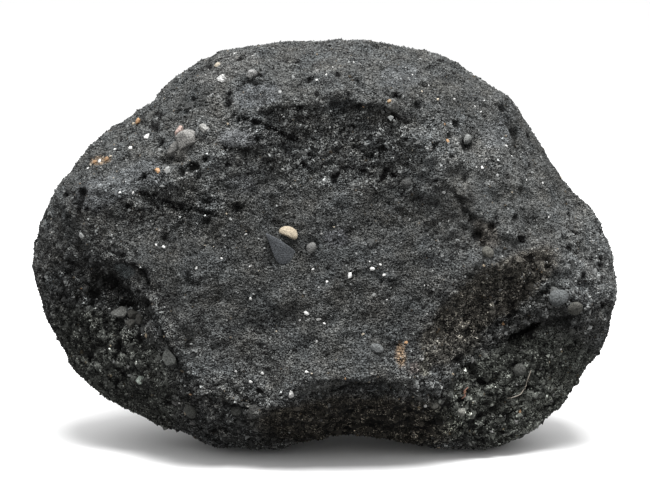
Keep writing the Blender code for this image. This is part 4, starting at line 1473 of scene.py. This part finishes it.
class LAVA_OT_slate(Operator):
    """Lay the slate chip on the face: rings of its outline, which shrink inwards over a domed top"""
    bl_idname = "lava_rock.slate"
    bl_label = "Slate chip"

    def execute(self, context):
        settings = context.scene.lava_rock.slate
        ground = Ground()
        outline = np.array(SLATE_OUTLINE)
        along = np.linspace(0, len(outline), SLATE_AROUND, endpoint=False)
        closed = np.concatenate([outline, outline[:1]])
        edge = np.stack([np.interp(along, np.arange(len(closed)), column) for column in closed.T], axis=1)
        edge = (np.roll(edge, 1, 0) + 2 * edge + np.roll(edge, -1, 0)) / 4
        middle = outline.mean(axis=0)
        spots, normals = ground.seen_at(middle)
        spot, level = spots[0], normals[0] / normals[0, 2]
        rings = []
        for share, rise in SLATE_RINGS:
            flat = (middle + (edge - middle) * share) * (1 - spot[2] / EYE_DISTANCE)
            tilt = -((flat - spot[:2]) @ level[:2])
            rough = 0.12 * fractal_noise(np.column_stack([flat, np.full(len(flat), 3.0)]), 2.5, 2, 8)
            sunk = SLATE_SINK * smooth_step((flat[:, 0] - middle[0]) / SLATE_DIP_LENGTH)
            rings.append(np.column_stack([flat, spot[2] + tilt + rise + rough - sunk]))
        points, faces = closed_rings(np.array(rings))
        material = speckled_material(
            "slate", pepper=0.35, low=0.45, high=1.65, roughness=0.8, relief=0.3, gloss=0.25)
        piece = new_piece("slate_chip", stood_up(points), faces, material)
        give_colours(piece.data, "colour", one_colour(settings.colour, len(points)))
        return {"FINISHED"}


FIBRE_SIDES = 6
FIBRE_STEPS = 40
FIBRE_CLEARANCE = 0.9  # how far a fibre's line is over the stone's mean height along it


class LAVA_OT_fibres(Operator):
    """Lay the fibres: a round profile along each path, which follows the stone loosely and tapers off"""
    bl_idname = "lava_rock.fibres"
    bl_label = "Fibres"

    def execute(self, context):
        ground = Ground()
        turn = np.arange(FIBRE_SIDES) * 2 * np.pi / FIBRE_SIDES
        taper = np.sqrt(np.clip(1 - np.abs(np.linspace(-1, 1, FIBRE_STEPS)) ** 8, 1e-4, 1))
        all_points, all_faces, colours = [], [], []
        for line, radius, colour in FIBRES:
            line = np.array(line)
            along = np.linspace(0, len(line) - 1, FIBRE_STEPS)
            places = np.stack([np.interp(along, np.arange(len(line)), column) for column in line.T], axis=1)
            places[2:-2] = (places[:-4] + places[1:-3] + places[2:-2] + places[3:-1] + places[4:]) / 5
            path = ground.seen_at(places)[0]
            height = np.convolve(np.pad(path[:, 2], 4, "edge"), np.ones(9) / 9, "valid")
            path[:, 2] = height + FIBRE_CLEARANCE + 2 * radius
            ahead = np.gradient(path, axis=0)
            ahead /= np.linalg.norm(ahead, axis=1)[:, None]
            side = np.cross(ahead, [0, 0, 1.0])
            side /= np.linalg.norm(side, axis=1)[:, None]
            over = np.cross(ahead, side)
            ring = np.cos(turn)[:, None] * side[:, None] + np.sin(turn)[:, None] * over[:, None]
            points, faces = closed_rings(path[:, None] + ring * (radius * taper)[:, None, None])
            all_faces.append(faces + sum(len(earlier) for earlier in all_points))
            all_points.append(points)
            colours.append(one_colour(colour, len(points)))
        material = speckled_material(
            "fibre", pepper=0.5, low=0.8, high=1.2, roughness=0.8, relief=0.02, gloss=0.4)
        piece = new_piece("fibres", stood_up(np.concatenate(all_points)), np.concatenate(all_faces), material)
        give_colours(piece.data, "colour", np.concatenate(colours))
        return {"FINISHED"}


SOFTBOX_AIM = Vector((0.0, 0.0, 0.06))
SOFTBOX_DISTANCE = 1.1
SOFTBOX_SIZE = (0.65, 0.45)
SOFTBOX_TURN = math.radians(6.0)  # how far round to the right it stands
SENSOR_WIDTH = 36.0
FLOOR_REACH = 30.0


class LAVA_OT_stage(Operator):
    """Set the stage: a pale floor, a softbox above and in front, light from all round, and the camera"""
    bl_idname = "lava_rock.stage"
    bl_label = "Stage"

    def execute(self, context):
        settings = context.scene.lava_rock.stage
        scene = context.scene
        self.floor(settings)
        self.sky(scene)
        self.softbox(scene, settings)
        self.camera(scene, settings)
        scene.view_settings.view_transform = "Standard"
        return {"FINISHED"}

    def softbox(self, scene, settings):
        """A large soft light above and in front, turned to the stone."""
        rise = settings.softbox_rise
        ahead, up = math.cos(rise), math.sin(rise)
        towards = Vector((math.sin(SOFTBOX_TURN) * ahead, -math.cos(SOFTBOX_TURN) * ahead, up))
        light = bpy.data.lights.new("softbox", "AREA")
        light.shape = "RECTANGLE"
        light.size, light.size_y = SOFTBOX_SIZE
        light.energy = settings.softbox_power
        softbox = bpy.data.objects.new("softbox", light)
        softbox.location = SOFTBOX_AIM + towards * SOFTBOX_DISTANCE
        softbox.rotation_euler = (-towards).to_track_quat("-Z", "Y").to_euler()
        scene.collection.objects.link(softbox)

    def camera(self, scene, settings):
        """The camera, which looks squarely at the leaning face from the eye's distance."""
        lens = bpy.data.cameras.new("camera")
        lens.lens = settings.lens
        lens.sensor_width = SENSOR_WIDTH
        lens.clip_start = 0.01
        camera = bpy.data.objects.new("camera", lens)
        target = Vector((-BOX_MIDDLE_X, -BOX_MIDDLE_Y, -GROUND_LEVEL)) * MILLIMETRE
        away = Vector((0, -math.cos(FACE_LEAN), math.sin(FACE_LEAN)))
        camera.location = target + away * EYE_DISTANCE * MILLIMETRE
        camera.rotation_euler = (math.pi / 2 - FACE_LEAN, 0, 0)
        scene.collection.objects.link(camera)
        scene.camera = camera

    def floor(self, settings):
        """A flat square that reaches past the horizon."""
        corners = np.array([(-1, -1, 0), (1, -1, 0), (1, 1, 0), (-1, 1, 0)]) * FLOOR_REACH
        mesh = bpy.data.meshes.new("floor")
        mesh.from_pydata(corners.tolist(), [], [(0, 1, 2, 3)])
        material, _, shader = new_material("floor")
        shader.inputs["Base Color"].default_value = (*settings.floor_colour, 1.0)
        shader.inputs["Roughness"].default_value = 0.9
        mesh.materials.append(material)
        floor = bpy.data.objects.new("floor", mesh)
        floor.visible_diffuse = False
        bpy.context.scene.collection.objects.link(floor)

    def sky(self, scene):
        """Even light that is strongest from above and almost nothing from below."""
        world = bpy.data.worlds.new("studio")
        scene.world = world
        world.use_nodes = True
        tree = world.node_tree
        direction = add_node(tree, "ShaderNodeTexCoord").outputs["Generated"]
        up = add_node(tree, "ShaderNodeSeparateXYZ", {"Vector": direction}).outputs["Z"]
        background = tree.nodes["Background"]
        background.inputs["Color"].default_value = (1.0, 1.0, 1.0, 1.0)
        tree.links.new(ranged(tree, up, -0.45, 0.9, 0.15, 1.42), background.inputs["Strength"])


class LAVA_PT_sidebar(Panel):
    """The sidebar's list of pieces"""
    bl_idname = "LAVA_PT_sidebar"
    bl_label = "Lava rock"
    bl_space_type = "VIEW_3D"
    bl_region_type = "UI"
    bl_category = "Lava rock"

    def draw(self, context):
        settings = context.scene.lava_rock
        for operator, group in PIECES:
            box = self.layout.box()
            box.operator(operator.bl_idname)
            if group:
                for name in getattr(settings, group).__annotations__:
                    box.prop(getattr(settings, group), name)


PIECES = (
    (LAVA_OT_stone, "stone"), (LAVA_OT_sand, "grains"), (LAVA_OT_gravel, ""), (LAVA_OT_crystals, "crystals"),
    (LAVA_OT_pebbles, ""), (LAVA_OT_slate, "slate"), (LAVA_OT_fibres, ""), (LAVA_OT_stage, "stage"),
)
SETTINGS = (StoneSettings, GrainSettings, CrystalSettings, SlateSettings, StageSettings, LavaRockSettings)


def register():
    for found in (*SETTINGS, *(operator for operator, _ in PIECES), LAVA_PT_sidebar):
        bpy.utils.register_class(found)
    bpy.types.Scene.lava_rock = PointerProperty(type=LavaRockSettings)


def unregister():
    del bpy.types.Scene.lava_rock
    for found in reversed((*SETTINGS, *(operator for operator, _ in PIECES), LAVA_PT_sidebar)):
        bpy.utils.unregister_class(found)


def main():
    """Builds every piece in order."""
    register()
    for startup in ("Cube", "Light", "Camera"):
        if startup in bpy.data.objects:
            bpy.data.objects.remove(bpy.data.objects[startup])
    bpy.ops.lava_rock.stone()
    bpy.ops.lava_rock.sand()
    bpy.ops.lava_rock.gravel()
    bpy.ops.lava_rock.crystals()
    bpy.ops.lava_rock.pebbles()
    bpy.ops.lava_rock.slate()
    bpy.ops.lava_rock.fibres()
    bpy.ops.lava_rock.stage()


if __name__ == "__main__":
    main()
